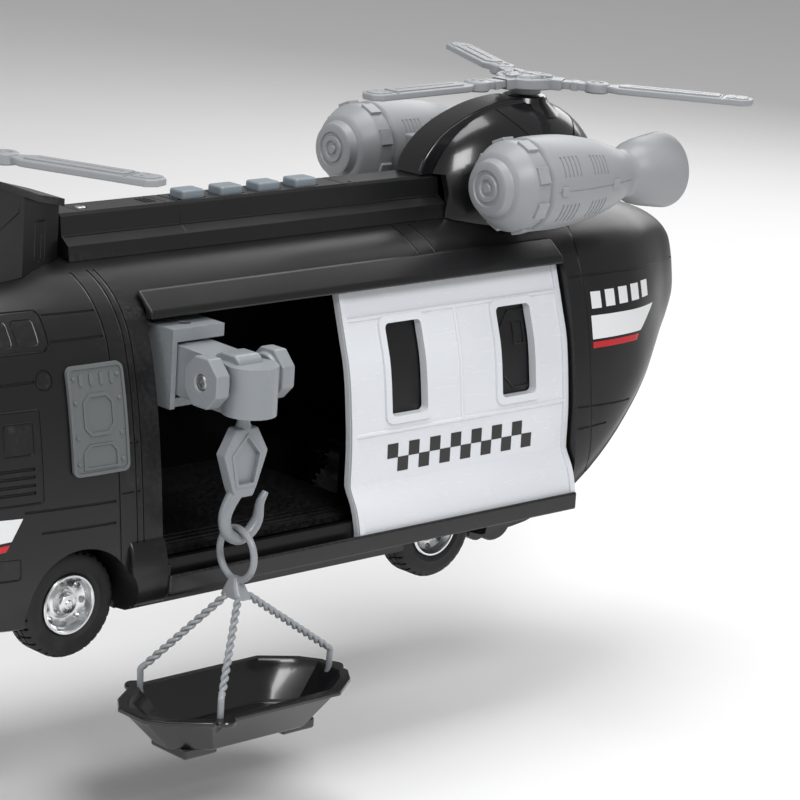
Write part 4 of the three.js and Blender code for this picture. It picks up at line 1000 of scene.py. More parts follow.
@dataclass
class Hull:
    """The two hull shells with their panel lines, wheel arches and the door's bay."""

    shape: HullShape = field(default_factory=HullShape)
    door: DoorShape = field(default_factory=DoorShape)
    seam: float = 0.12
    arch_clearance: float = 2.5
    groove: float = 0.5
    doorway: tuple[float, float] = (-57.0, 48.5)
    doorway_top: float = 94.0
    tail_seam: float = -152.0
    body: str = "airframe"

    def build(self) -> None:
        """Builds the shells, the panels in the door's bay and the printed marks."""
        shell = self._shell().halved(Axis.X, self._front(), False)
        for side, grooves in zip(Side, self._grooves()):
            half = shell.copy().halved(Axis.Y, side.value * self.seam, side is Side.PORT).cut(*grooves)
            half.piece(f"hull_{side.label}", self.body, HULL_BLACK, [f"fuselage_{side.label}_shell"])
        self._bay_panels()
        self._marks()

    def _front(self) -> float:
        """Where the shells end at the nose."""
        return corners("nose_shell")[0].x - 0.3

    def _bay(self) -> tuple[Form, Form]:
        """The space of the door's bay, and the same space with its wall."""
        door_low, _ = corners("sliding_door")
        rear, front = door_low.x - 1, self.doorway[1]
        depth = self.door.thickness + self.door.gap
        wall = self.shape.wall
        space = Form.prism(Axis.X, self.door.outline(30, depth, 3.5, self.door.gap), rear, front)
        walled = Form.prism(Axis.X, self.door.outline(30, depth + wall, 3.5, wall), rear - wall, front + wall)
        return space, walled

    def _arches(self, grow: float = 0.0) -> list[Form]:
        """The four wheel arches, grown by a wall if they line the hull."""
        arches = []
        for end in ("front", "rear"):
            for side in Side:
                low, high = corners(f"tyre_{end}_{side.label}")
                centre = (low + high) / 2
                radius = (high.z - low.z) / 2 + self.arch_clearance + grow
                inner = (low.y if side is Side.PORT else -high.y) - self.arch_clearance - grow
                span = side.value * inner, side.value * 60
                arches.append(Form.rod(Axis.Y, radius, *span, (centre.x, 0, centre.z), 72))
        return arches

    def _bulges(self) -> list[Form]:
        """The bulge over each lower edge between the front wheel and the doorway."""
        knots = [(43, 2.5), (51, 3.6), (53.4, 7.5), (54, 13), (53.2, 20), (50, 26), (43, 28)]
        outline = [tuple(point) for point in smooth_path(knots, 24)]
        rear, front = self.doorway[1] - 0.8, corners("tyre_front_port")[0].x
        port = Form.prism(Axis.X, outline, rear, front).eased(3.4, 6)
        return [port, port.copy().mirrored()]

    def _shell(self) -> Form:
        """The whole hull as one carved shell."""
        outer = self.shape.solid(self.shape.fuselage)
        inner = self.shape.solid(self.shape.fuselage[2:], self.shape.wall, shift=self.shape.wall)
        bay, walled = self._bay()
        chassis_low, chassis_high = corners("chassis_plate")
        deck = 2.7
        well = Form.block((chassis_low.x - 0.3, -41.1, -5), (chassis_high.x + 0.3, 41.1, deck))
        doorway = Form.block((self.doorway[0], 20, 16.5), (self.doorway[1] + 1, 90, self.doorway_top))
        slot = Form.block((-94, -5, 104), (56, 5, 118))
        full = outer.join(*self._bulges())
        cavity = inner.cut(walled, *self._arches(self.shape.wall))
        return full.cut(cavity, bay, doorway, well, slot, *self._arches())

    def _grooves(self) -> tuple[list[Form], list[Form]]:
        """Panel lines as thin tubes half sunk in the skin, for each side."""
        shape = self.shape

        def line(path: list[Vector], width: float = self.groove, closed: bool = False) -> Form:
            """One groove on the port side."""
            return Form.loop(path, width, 6) if closed else Form.tube(path, width, 6)

        def rings(outlines: Iterable[Outline], width: float, step: float = 3.0) -> list[Form]:
            """Closed grooves on the port side."""
            return [line(shape.line(outline, True, step), width, True) for outline in outlines]

        def strokes(paths: Iterable[Outline], width: float) -> list[Form]:
            """Open grooves on the port side."""
            return [line(shape.line(path), width) for path in paths]

        port = [line(shape.hoop(x, 0.13, 0.9)) for x in (67.0, 60.2, 57.6)]
        tail_path = shape.hoop(self.tail_seam, 0.02, 0.97, lambda share: -19 * max(0.0, 1 - share * 3) ** 1.6)
        port.append(line(tail_path, 0.45))
        port += [line(shape.hoop(x, 0.1, 0.24)) for x in (-79.0, -87.0)]
        port.append(line(shape.line([(-226, 86), (-200, 88.4), (-171, 90.2), (-145, 90.7)], step=4), 0.45))
        port += strokes([[(-175.5, 42.4), (-145, 43.5)], [(-160.5, 36), (-145, 35.5)]], 0.4)
        window = [(89.3, 92), (89.2, 100.4), (90.2, 101.7), (108.5, 101.7), (111.5, 92), (110, 90), (91, 90)]
        port += rings([window], self.groove)
        panes = ((92.5, 92.2), (100.4, 99.4)), ((102.2, 92.2), (107.6, 99.4))
        port += rings([rounded(low, high, 1.0, 2) for low, high in panes], 0.3, 2)
        bands = [
            [(68, 99.9), (88.2, 100.2)], [(68, 92.5), (88.4, 92.6)], [(96.4, 81.2), (113, 81)],
            [(68.2, 40), (103, 40.6)], [(68.6, 33), (97, 33.3)],
        ]
        port += strokes(bands, 0.45)
        port += rings([rounded((105.1, 19.3), (113.4, 26.2), 0.8, 2)], 0.4)
        port += strokes([[(58.5, z), (66, z)] for z in (58.0, 42.0)], 0.35)
        port += rings([[(93 + 3 * u, 81.3 + 3 * v) for u, v in regular(20, 1.0)]], 0.4, 1.0)
        port += rings([rounded((96, 43.2), (114, 72.7), 0.8, 2)], 0.45)
        port += rings([rounded((98.8, 58.8), (109.1, 69), 0.8, 2)], 0.35, 2)
        port += strokes([[(98.6, z), (112, z)] for z in (46.7, 49.2, 51.8, 54.3)], 0.55)
        starboard = [each.copy().mirrored() for each in port]
        spans = (-57, 48), (-143, -62)
        doors = [[(rear, 18), (rear, 94), (front, 94), (front, 18)] for rear, front in spans]
        starboard += [each.mirrored() for each in strokes(doors, self.groove)]
        bay_rear = corners("sliding_door")[0].x - 1
        kept = [each for each in port if each.span(Axis.X)[0] > 50 or each.span(Axis.X)[1] < bay_rear]
        roof_lines = [each for each in port if each.span(Axis.Z)[0] > 100 and each not in kept]
        return kept + roof_lines, starboard

    def _bay_panels(self) -> None:
        """An octagon panel and a small square moulded on the wall behind the door's rear window."""
        wall = self.door.thickness + self.door.gap - 0.15
        octagon = [
            (-113, 58), (-113, 74.5), (-118, 80), (-131, 80),
            (-136, 74.5), (-136, 58), (-131, 53), (-118, 53),
        ]
        square = [(-119.6, 68.5), (-119.6, 76), (-124.4, 76), (-124.4, 68.5)]
        for name, outline in (("octagon", octagon), ("square", square)):
            path = [self.door.face(x, z, -wall) for x, z in outline]
            Form.loop(path, 0.5, 6).piece(f"bay_{name}", self.body, HULL_BLACK)

    def _marks(self) -> None:
        """Plain printed trim near the tail and by the nose: bars, a wedge and a stripe."""
        shape = self.shape
        sheets = [
            ("tail_wedge", MARK_WHITE, [(-154, 67.6), (-184, 67), (-197, 74.8), (-154, 76.1)]),
            ("tail_stripe", MARK_RED, [(-154, 64.4), (-180.8, 63.9), (-182.4, 66), (-154, 66.5)]),
            ("nose_wedge", MARK_WHITE, [(103.7, 39), (108, 32.2), (117, 31.5), (117.4, 39.4)]),
            ("nose_stripe", MARK_RED, [(108.7, 31.1), (110, 29.1), (117, 28.3), (117, 30.4)]),
        ]
        for i in range(5):
            x = -154.8 - i * 8.0
            bar = [(x, 78.6), (x - 5.4, 78.5), (x - 5.4, 84.4), (x, 84.6)]
            sheets.append((f"tail_bar_{i + 1}", MARK_WHITE, bar))
        for name, finish, corners_xz in sheets:
            for side in Side:
                sheet = shape.patch(corners_xz, 0.07, 0.12)
                if side is Side.STARBOARD:
                    sheet.mirrored()
                sheet.piece(f"{name}_{side.label}", self.body, finish)


@dataclass
class Assembly:
    """Pieces that belong together, with the body they ride on."""

    body: str = "airframe"

    def soften(
        self,
        node: str,
        finish: Finish,
        width: float,
        adds: Sequence[Form] = (),
        cuts: Sequence[Form] = (),
        body: str = "",
    ) -> None:
        """Makes a frame node's shape again with rounded edges.

        Args:
            node: The frame node.
            finish: What it is made of.
            width: Width of the rounding in millimetres.
            adds: Closed forms that are added after the rounding.
            cuts: Closed forms that are cut away last.
            body: The body it rides, unless it is the assembly's own.
        """
        form = Form.from_node(node).eased(width, 3)
        if adds:
            form = form.join(*adds)
        if cuts:
            form = form.cut(*cuts)
        form.piece(f"{node}_moulded", body or self.body, finish, [node])

    @staticmethod
    def dress(finish: Finish, *nodes: str) -> None:
        """Gives frame nodes that stay as they are a finish."""
        for node in nodes:
            data = frame["nodes"][node].data
            data.materials.clear()
            data.materials.append(finish.material())


@dataclass
class Nose(Assembly):
    """The nose shell with its windscreen and pillars."""

    shape: HullShape = field(default_factory=HullShape)
    glass_inset: float = 0.5
    pillar: float = 1.6

    def build(self) -> None:
        """Builds the shell, the glass and the pillars."""
        low, high = corners("windscreen")
        seam = corners("nose_shell")[0].x
        outer = self.shape.solid(self.shape.nose)
        inner = self.shape.solid(self.shape.nose[:-1], self.shape.wall, shift=-0.8)
        opening = Form.block(
            (low.x - 0.3, low.y - 0.3, low.z - 0.3), (high.x + 0.3, high.y + 0.3, high.z + 9)
        )
        shell = outer.cut(inner, opening, *self._lines(seam))
        shell.piece("nose_moulded", self.body, HULL_BLACK, ["nose_shell"])
        sheet = self.shape.solid(self.shape.nose, self.glass_inset)
        core = self.shape.solid(self.shape.nose[:-1], self.shape.wall + 0.3, shift=-0.8)
        pane = Form.block(low, (high.x, high.y, high.z + 9))
        sheet.keep(pane).cut(core).piece("windscreen_glass", self.body, DARK_WINDOW, ["windscreen"])
        for name, y in (("middle", 0.0), ("port", 17.0), ("starboard", -17.0)):
            strip = Form.block((low.x, y - self.pillar / 2, low.z), (high.x, y + self.pillar / 2, high.z + 9))
            bar = self.shape.solid(self.shape.nose, -0.1).keep(strip)
            bar.cut(self.shape.solid(self.shape.nose, self.glass_inset + 0.4)).piece(
                f"windscreen_pillar_{name}", self.body, HULL_BLACK
            )

    def _lines(self, seam: float) -> list[Form]:
        """Panel lines round the nose."""
        lines = []
        for x in (seam + 17, seam + 27):
            path = self.shape.hoop(x, 0.55, 0.95)
            lines += [Form.tube(path, 0.45, 6), Form.tube(path, 0.45, 6).mirrored()]
        return lines


@dataclass
class SlidingDoor(Assembly):
    """The curved white door with two framed windows, its ribs and its rails."""

    body: str = "cabin_door"
    shape: DoorShape = field(default_factory=DoorShape)
    window: tuple[float, float] = (17.0, 32.0)
    window_middles: tuple = ((-63.5, 67.0), (-117.5, 67.0))
    frame_width: float = 2.6
    frame_rise: float = 1.1
    checks: int = 14

    def build(self) -> None:
        """Builds the panel, its printed band and both rails."""
        low, high = corners("sliding_door")
        panel = Form.prism(Axis.X, self.shape.outline(0, self.shape.thickness), low.x, high.x).eased(0.8, 3)
        holes = [self._window(place, 0, 1.8) for place in self.window_middles]
        sheet = Form.prism(Axis.X, self.shape.outline(self.frame_rise, 0.7), low.x + 0.8, high.x - 0.8)
        frames = [
            sheet.keep(self._window(place, self.frame_width, 3.2)).cut(self._window(place, -0.4, 1.6))
            .eased(0.35, 2)
            for place in self.window_middles
        ]
        full = panel.join(*frames, *self._rims(low.x, high.x), *self._ribs(low.x, high.x))
        full.cut(*holes).piece("sliding_door_moulded", self.body, DOOR_WHITE, ["sliding_door"])
        self._band().piece("door_band", self.body, MARK_BLACK)
        for rail in ("door_rail_upper", "door_rail_lower"):
            self.soften(rail, HULL_BLACK, 1.6, body="airframe")

    def _window(self, place: tuple[float, float], grow: float, corner: float) -> Form:
        """A window's room, right through the door."""
        (x, z), (width, height) = place, self.window
        low = (x - width / 2 - grow, z - height / 2 - grow)
        high = (x + width / 2 + grow, z + height / 2 + grow)
        return Form.prism(Axis.Y, rounded(low, high, corner, 5), 20, 70)

    def _rims(self, rear: float, front: float) -> list[Form]:
        """The raised rim down each end."""
        outline = self.shape.outline(0.95, 1.0)
        return [
            Form.prism(Axis.X, outline, rear + 0.1, rear + 2.4).eased(0.5, 3),
            Form.prism(Axis.X, outline, front - 2.4, front - 0.1).eased(0.5, 3),
        ]

    def _ribs(self, rear: float, front: float) -> list[Form]:
        """Fine raised ribs above, below and between the windows."""
        halfway, low, high = (rear + front) / 2, 45.8, 85.4
        paths = [
            [(rear + 1, high), (front - 1, high)], [(rear + 1, low), (front - 1, low)],
            [(halfway, low), (halfway, high)],
        ]
        return [Form.tube(traced(path, self.shape.face, step=2.5), 0.85, 8) for path in paths]

    def _band(self) -> Form:
        """Two rows of printed checks under the windows."""
        band = Form()
        low_x, low_z, size = -125.0, 31.0, 5.1
        for row in range(2):
            for i in range(row % 2, self.checks, 2):
                x, z = low_x + i * size, low_z + row * size
                band.with_copy(self.shape.patch((x, z), (x + size, z + size), 0.09, 0.15))
        return band


@dataclass
class Roof(Assembly):
    """The spine with its steps, the battery door and the four buttons."""

    button_cap: tuple[float, float] = (10.0, 8.0)

    def build(self) -> None:
        """Builds the spine, the battery door, its screw and the buttons."""
        low, high = corners("roof_spine")
        cuts = []
        for side in Side:
            groove = [Vector((x, side.value * 8.1, 118.6)) for x in (low.x + 1, high.x - 1)]
            cuts.append(Form.tube(groove, 0.35, 6))
        joint = [
            (-13, 110), (-12.8, 111.2), (-11.8, 116.4), (-8.5, 118.6),
            (-7.7, 119.2), (-6.9, 125.4), (-6, 126.3),
        ]
        arch = joint + [(-y, z) for y, z in reversed(joint)]
        cuts.append(Form.tube([Vector((13.2, y, z)) for y, z in arch], 0.4, 6))
        cuts.append(Form.tube([Vector((-62.0, y, z)) for y, z in arch[4:-4]], 0.4, 6))
        ends = [Form.rod(Axis.Z, 0.8, -2, 2, (x, 4.2, 126.2), 16) for x in (-66, 11.2)]
        self.soften("roof_spine", HULL_BLACK, 1.5, cuts=[*cuts, *ends])
        door_low, door_high = corners("battery_door")
        grips = [
            Form.block((x, -3.2, door_high.z - 0.2), (x + 0.7, 3.2, door_high.z + 0.25)).eased(0.15, 2)
            for x in (door_low.x + 2.4, door_low.x + 4.2, door_low.x + 6.0)
        ]
        self.soften("battery_door", HULL_BLACK, 0.3, adds=grips)
        self._screw(middle("battery_door_screw"), door_high.z)
        for i in range(4):
            self._button(i + 1)

    def _screw(self, centre: Vector, top: float) -> None:
        """A small domed screw with a cross recess."""
        profile = [(0, -6), (0.8, -6), (0.8, -0.5), (1.9, -0.5), (1.95, 0), (1.4, 0.35), (0, 0.5)]
        head = Form.turned(Axis.Z, profile, (centre.x, centre.y, top), 32)
        cross = [
            Form.block((centre.x - a, centre.y - b, top - 0.1), (centre.x + a, centre.y + b, top + 1))
            for a, b in ((1.1, 0.22), (0.22, 1.1))
        ]
        head.cut(*cross).piece("battery_door_screw_turned", self.body, BARE_STEEL, ["battery_door_screw"])

    def _button(self, number: int) -> None:
        """One push button: a crowned cap on its stem."""
        node = f"button_{number}"
        low, high = corners(node)
        x = (low.x + high.x) / 2
        length, width = self.button_cap
        outline = rounded((x - length / 2, -width / 2), (x + length / 2, width / 2), 1.3, 5)
        cap = Form.prism(Axis.Z, outline, high.z - 6, high.z).eased(0.75, 4)
        stem = Form.block((x - 2, -2, low.z), (x + 2, 2, high.z - 5))
        cap.join(stem).piece(f"{node}_moulded", node, BUTTON_GREY, [node])


@dataclass
class Pylons(Assembly):
    """The faceted front pylon and the domed rear pylon."""

    shape: HullShape = field(default_factory=HullShape)
    dome_x: float = -147.5
    dome_z: float = 105.0
    dome_size: tuple[float, float, float] = (49.0, 25.0, 46.0)
    dome_wall: float = 2.0

    def build(self) -> None:
        """Builds both pylons."""
        self._front()
        self._rear()

    def _front(self) -> None:
        """The hood, with its panel lines and a plain round badge."""
        hood = Form.from_node("front_pylon").eased(0.5, 3)
        skin = BVHTree.FromBMesh(hood.bm)

        def line(points: Sequence[tuple[float, float]], closed: bool = False) -> Form:
            """A groove on the port flank through points given by place and height."""
            ends = list(points) + ([points[0]] if closed else [])
            path = []
            for (x0, z0), (x1, z1) in zip(ends, ends[1:]):
                count = max(2, round(math.dist((x0, z0), (x1, z1)) / 1.5))
                for i in range(count):
                    x, z = x0 + (x1 - x0) * i / count, z0 + (z1 - z0) * i / count
                    hit = skin.ray_cast(Vector((x, 60, z)), Vector((0, -1, 0)))[0]
                    if hit:
                        path.append(hit)
            return Form.loop(path, 0.35, 6) if closed else Form.tube(path, 0.35, 6)

        port = [
            line([(98, 113), (98, 124), (88, 131), (88, 136.5)]),
            line([(130, 120), (98, 119)]),
            line([(73, 113), (73, 126), (79, 126.4), (79, 113.2)], True),
            line([(75.2, 113), (75.2, 123.5)]),
            line([(120, 113.5), (120, 126), (112, 126.4), (112, 113.8)], True),
        ]
        lines = port + [each.copy().mirrored() for each in port]
        hood.cut(*lines).piece("front_pylon_moulded", self.body, HULL_BLACK, ["front_pylon"])
        badge = Form.turned(Axis.Y, [(2.6, -4), (4.4, -4), (4.4, 4), (2.6, 4)], (108, 18, 130), 40, ring=True)
        for side in Side:
            form = badge.copy() if side is Side.PORT else badge.copy().mirrored()
            shell = Form.from_node("front_pylon")
            grown = shell.copy().moved((0, side.value * 0.12, 0))
            form.keep(grown).cut(shell).piece(f"pylon_badge_{side.label}", self.body, MARK_WHITE)

    def dome(self, grow: float) -> Form:
        """The dome, grown or shrunk all round."""
        length, width, height = (each + grow for each in self.dome_size)
        levels = 22
        rings = []
        for i in range(levels + 1):
            level = math.sin(math.pi / 2 * 0.92 * i / levels)
            reach = math.sqrt(max(0.0, 1 - level**2.4))
            ring = []
            for u, v in regular(72, 1.0):
                x = self.dome_x + u * length * (0.95 if u < 0 else 1) * reach**0.9
                ring.append(Vector((x, v * width * reach, self.dome_z + level * height)))
            rings.append(ring)
        return Form.lofted(rings)

    def _rear(self) -> None:
        """The dome, its crest towards the spine, the ring under the rotor and the lines on it."""
        mast = pivot("rear_rotor_spin")
        crest_points = [
            (-98, 124), (-98.4, 128.5), (-101, 133.5), (-106.5, 139), (-114, 143.6), (-123, 147.2),
            (-133, 149.9), (-143, 151.2), (-149, 151.3),
        ]
        crest_outline = [(-98, 112), *[(p.x, p.y) for p in smooth_path(crest_points, 28)], (-149, 112)]
        crest = Form.prism(Axis.Y, crest_outline, -6.8, 6.8).eased(1.3, 4, 50)
        boss_profile = [(0, -12), (13.5, -12), (11, -9), (9, -7.2), (8.2, -5.4), (7.6, -5), (0, -5)]
        boss = Form.turned(Axis.Z, boss_profile, mast, 64)
        low, high = corners("roof_spine")
        spine_room = Form.block((low.x - 0.3, -12.9, 100), (high.x, 12.9, high.z + 0.3))
        hull_room = self.shape.solid(self.shape.fuselage, -0.3)
        shaft_room = Form.rod(Axis.Z, 2.4, -40, 10, mast, 32)
        band_profile = [(20.5, -60), (21.1, -60), (21.1, 4), (20.5, 4)]
        band = Form.turned(Axis.Z, band_profile, (mast.x + 2, 0, mast.z), 64, ring=True)
        line = band.cut(self.dome(-0.5)).cut(Form.block((-134, -7.4, 100), (-90, 7.4, 170)))
        dome = self.dome(0).join(boss, crest).cut(line)
        dome.cut(self.dome(-self.dome_wall), spine_room, hull_room, shaft_room).piece(
            "rear_pylon_moulded", self.body, GLOSS_BLACK, ["rear_pylon"]
        )


@dataclass
class Engine(Assembly):
    """One engine pod with its strut, on either side of the dome."""

    side: Side = Side.PORT
    centre: tuple[float, float, float] = (-98.0, 41.2, 127.7)
    profile: tuple = (
        (0, 0.35), (1.5, 0.35), (1.9, -0.35), (3.0, -0.35), (3.4, 0.3), (4.7, 0.3), (5.1, -0.35),
        (6.2, -0.35), (6.6, 0.25), (8.9, 0.1), (9.6, -0.4), (10.2, -2.6), (10.6, -3.3), (12.1, -3.8),
        (12.9, -4.6), (14.0, -6.2), (15.2, -8.0), (16.0, -9.4), (16.3, -10.4), (16.3, -15.2),
        (16.0, -15.9), (15.3, -16.2), (15.3, -17.1),
        (16.1, -17.4), (16.8, -18.2), (17.0, -20), (17.1, -25), (17.0, -31), (16.6, -37), (15.9, -42.5),
        (15.0, -47.5), (13.9, -52.5), (12.7, -57), (11.3, -61), (9.9, -64.6), (9.1, -66.2), (8.9, -67.5),
        (8.9, -68.9), (9.4, -70.2), (10.6, -72.2), (11.7, -74.6), (12.5, -78), (13.1, -82), (13.8, -87),
        (14.15, -90.1), (13.9, -90.9), (13.2, -90.9), (12.8, -87), (12.0, -82), (11.0, -77.6), (9.6, -75),
        (6, -73.9), (0, -73.4),
    )
    pads: int = 8

    def build(self) -> None:
        """Builds the pod, joins its strut and collar pads, and cuts the louvres."""
        pod = Form.turned(Axis.X, self.profile, self.centre, 80)
        dome = Pylons().dome(0.6)
        strut = Form.block((-145, 14, 118.7), (-120, 30, 134.7)).eased(1.0, 2)
        hull_room = HullShape().solid(HullShape().fuselage, -0.3)
        clips = [self._block(angle, place, 3.4, 3.4, 0.7) for angle in (0, 180) for place in (-22.5, -51.5)]
        pads = [self._block(360 / self.pads * (i + 0.5), -12.8, 5.2, 6.2, 0.9) for i in range(self.pads)]
        grooves = Form()
        for flank in (0, 180):
            for start in (-23.0, -38.5):
                for i in range(5):
                    for middle_angle in (30, -30):
                        grooves.with_copy(self._slot(start - 2.0 * i, flank + middle_angle, 13))
            seam_path = [self._point(-19.5 - 1.5 * i, flank, 0.05) for i in range(30)]
            grooves.with_copy(Form.tube(seam_path, 0.3, 6))
        full = pod.cut(grooves).join(strut, *clips, *pads).cut(dome, hull_room)
        if self.side is Side.STARBOARD:
            full.mirrored()
        node = f"engine_{self.side.label}"
        full.piece(f"{node}_moulded", self.body, ROTOR_GREY, [node])

    def _radius(self, place: float) -> float:
        """The pod's outer radius at a place behind its front face."""
        for (r0, h0), (r1, h1) in zip(self.profile[10:], self.profile[11:]):
            if h0 >= place >= h1 and h0 > h1:
                return r0 + (r1 - r0) * (h0 - place) / (h0 - h1)
        return self.profile[-1][0]

    def _point(self, place: float, angle: float, lift: float) -> Vector:
        """A point on the pod's skin, by place and angle from the outboard side."""
        turn, radius = math.radians(angle), self._radius(place) + lift
        x, y, z = self.centre
        return Vector((x + place, y + radius * math.cos(turn), z + radius * math.sin(turn)))

    def _slot(self, place: float, angle: float, half: float) -> Form:
        """One louvre slot round the pod."""
        steps = 8
        path = [self._point(place, angle - half + 2 * half * i / steps, 0) for i in range(steps + 1)]
        return Form.tube(path, 0.5, 6)

    def _block(self, angle: float, place: float, length: float, width: float, rise: float) -> Form:
        """A small square pad on the pod's skin."""
        radius = self._radius(place)
        form = Form.block(
            (-length / 2, radius - 1.6, -width / 2), (length / 2, radius + rise, width / 2)
        ).eased(0.35, 2)
        x, y, z = self.centre
        return form.rotated(Axis.X, angle).moved((x + place, y, z))


@dataclass
class Rotor(Assembly):
    """One rotor: hub, shaft and three blades."""

    end: str = "front"
    turn: float = 110.0
    radius: float = 85.0
    chord: float = 10.5

    def build(self) -> None:
        """Builds the hub and its blades."""
        self.body = f"{self.end}_rotor"
        mast = pivot(f"{self.end}_rotor_spin")
        self._place(self._hub(), mast, 0, f"{self.end}_rotor_hub")
        blade = self._blade()
        for i in range(3):
            self._place(blade.copy(), mast, i, f"{self.end}_blade_{i + 1}")

    def _place(self, form: Form, mast: Vector, index: int, node: str) -> None:
        """Turns a form to its place round the mast and finishes it."""
        form.rotated(Axis.Z, self.turn + 120 * index).moved(mast)
        form.piece(f"{node}_moulded", self.body, ROTOR_GREY, [node])

    def _hub(self) -> Form:
        """The stepped disc with its rivets, sockets and shaft."""
        profile = [
            (0, 2.3), (1.3, 2.3), (1.6, 1.9), (2.6, 1.9), (3.0, 2.6), (6.0, 2.6), (6.4, 2.2), (6.7, 1.6),
            (9.4, 1.6), (9.8, 2.1), (10.6, 2.1), (11.1, 1.6), (11.2, -1.5), (10.7, -2.0), (6.2, -2.1),
            (6.0, -2.5), (6.0, -4.2), (5.7, -4.5), (2, -4.6), (2, -26), (0, -26),
        ]
        disc = Form.turned(Axis.Z, profile, (0, 0, 0), 72)
        adds = []
        for i in range(3):
            socket = Form.block((8, -4.2, -2), (14.4, 4.2, 1.9)).eased(0.5, 2)
            arm = Form.block((3.2, -1.5, 1.4), (10, 1.5, 2.9)).eased(0.4, 2)
            adds += [socket.rotated(Axis.Z, 120 * i), arm.rotated(Axis.Z, 120 * i)]
        for i in range(9):
            rivet_profile = [(0, 2.5), (0.5, 2.4), (0.75, 2.0), (0.75, 1.2), (0, 1.2)]
            rivet = Form.turned(Axis.Z, rivet_profile, (8.1, 0, 0), 12)
            adds.append(rivet.rotated(Axis.Z, 40 * i + 20))
        slot = Form.block((11.9, -3.3, -1.7), (17.5, 3.3, 1.7))
        slots = [slot.copy().rotated(Axis.Z, 120 * i) for i in range(3)]
        return disc.join(*adds).cut(*slots)

    def _blade(self) -> Form:
        """One blade along +X, with its link, hinge boss, raised panel and tip segment."""
        half = self.chord / 2
        root, tip = 31.0, self.radius
        outline = [
            (root, -2.6), (root + 5, -half), (tip - 3, -half), (tip, -half + 3),
            (tip, half - 3), (tip - 3, half), (root + 5, half), (root, 2.6),
        ]
        plate = Form.prism(Axis.Z, outline, -1.2, 1.2).eased(0.6, 3)
        panel_outline = [
            (root + 5.5, -3.3), (tip - 12, -3.3), (tip - 12, 3.3), (root + 7, 3.3), (root + 4.4, 1.2),
            (root + 4.4, -1.8),
        ]
        panel = Form.prism(Axis.Z, panel_outline, 0.4, 1.75).eased(0.3, 2)
        end_outline = [
            (tip - 9.5, -3.6), (tip - 3.2, -3.6), (tip - 1.6, -1.8),
            (tip - 1.6, 1.8), (tip - 3.2, 3.6), (tip - 9.5, 3.6),
        ]
        end = Form.prism(Axis.Z, end_outline, 0.4, 1.6).eased(0.3, 2)
        boss_profile = [
            (0, 1.75), (1.0, 1.75), (1.3, 1.3), (2.2, 1.3), (2.6, 1.9), (3.9, 1.9), (4.5, 1.6), (4.8, 1.1),
            (4.8, -1.3), (4.3, -1.9), (0, -1.9),
        ]
        boss = Form.turned(Axis.Z, boss_profile, (27, 0, 0), 40)
        link = Form.block((12.2, -2.9, -1.4), (27, 2.9, 1.4)).eased(0.45, 2)
        neck = Form.block((27, -2.6, -1.15), (33, 2.6, 1.15)).eased(0.4, 2)
        step = Form.block((17.6, -3.6, -1.6), (20.4, 3.6, 1.6)).eased(0.4, 2)
        cuts = [
            Form.tube([Vector((tip - 10.8, -6, 1.2)), Vector((tip - 10.8, 6, 1.2))], 0.5, 6),
            Form.tube([Vector((root + 9, 0, 1.8)), Vector((tip - 14, 0, 1.8))], 0.45, 6),
            *[Form.tube([Vector((tip - 6.5, y, 0.9)), Vector((tip - 6.5, y, 3))], 0.55, 10) for y in (-2, 2)],
        ]
        return plate.join(panel, end, boss, link, neck, step).cut(*cuts)


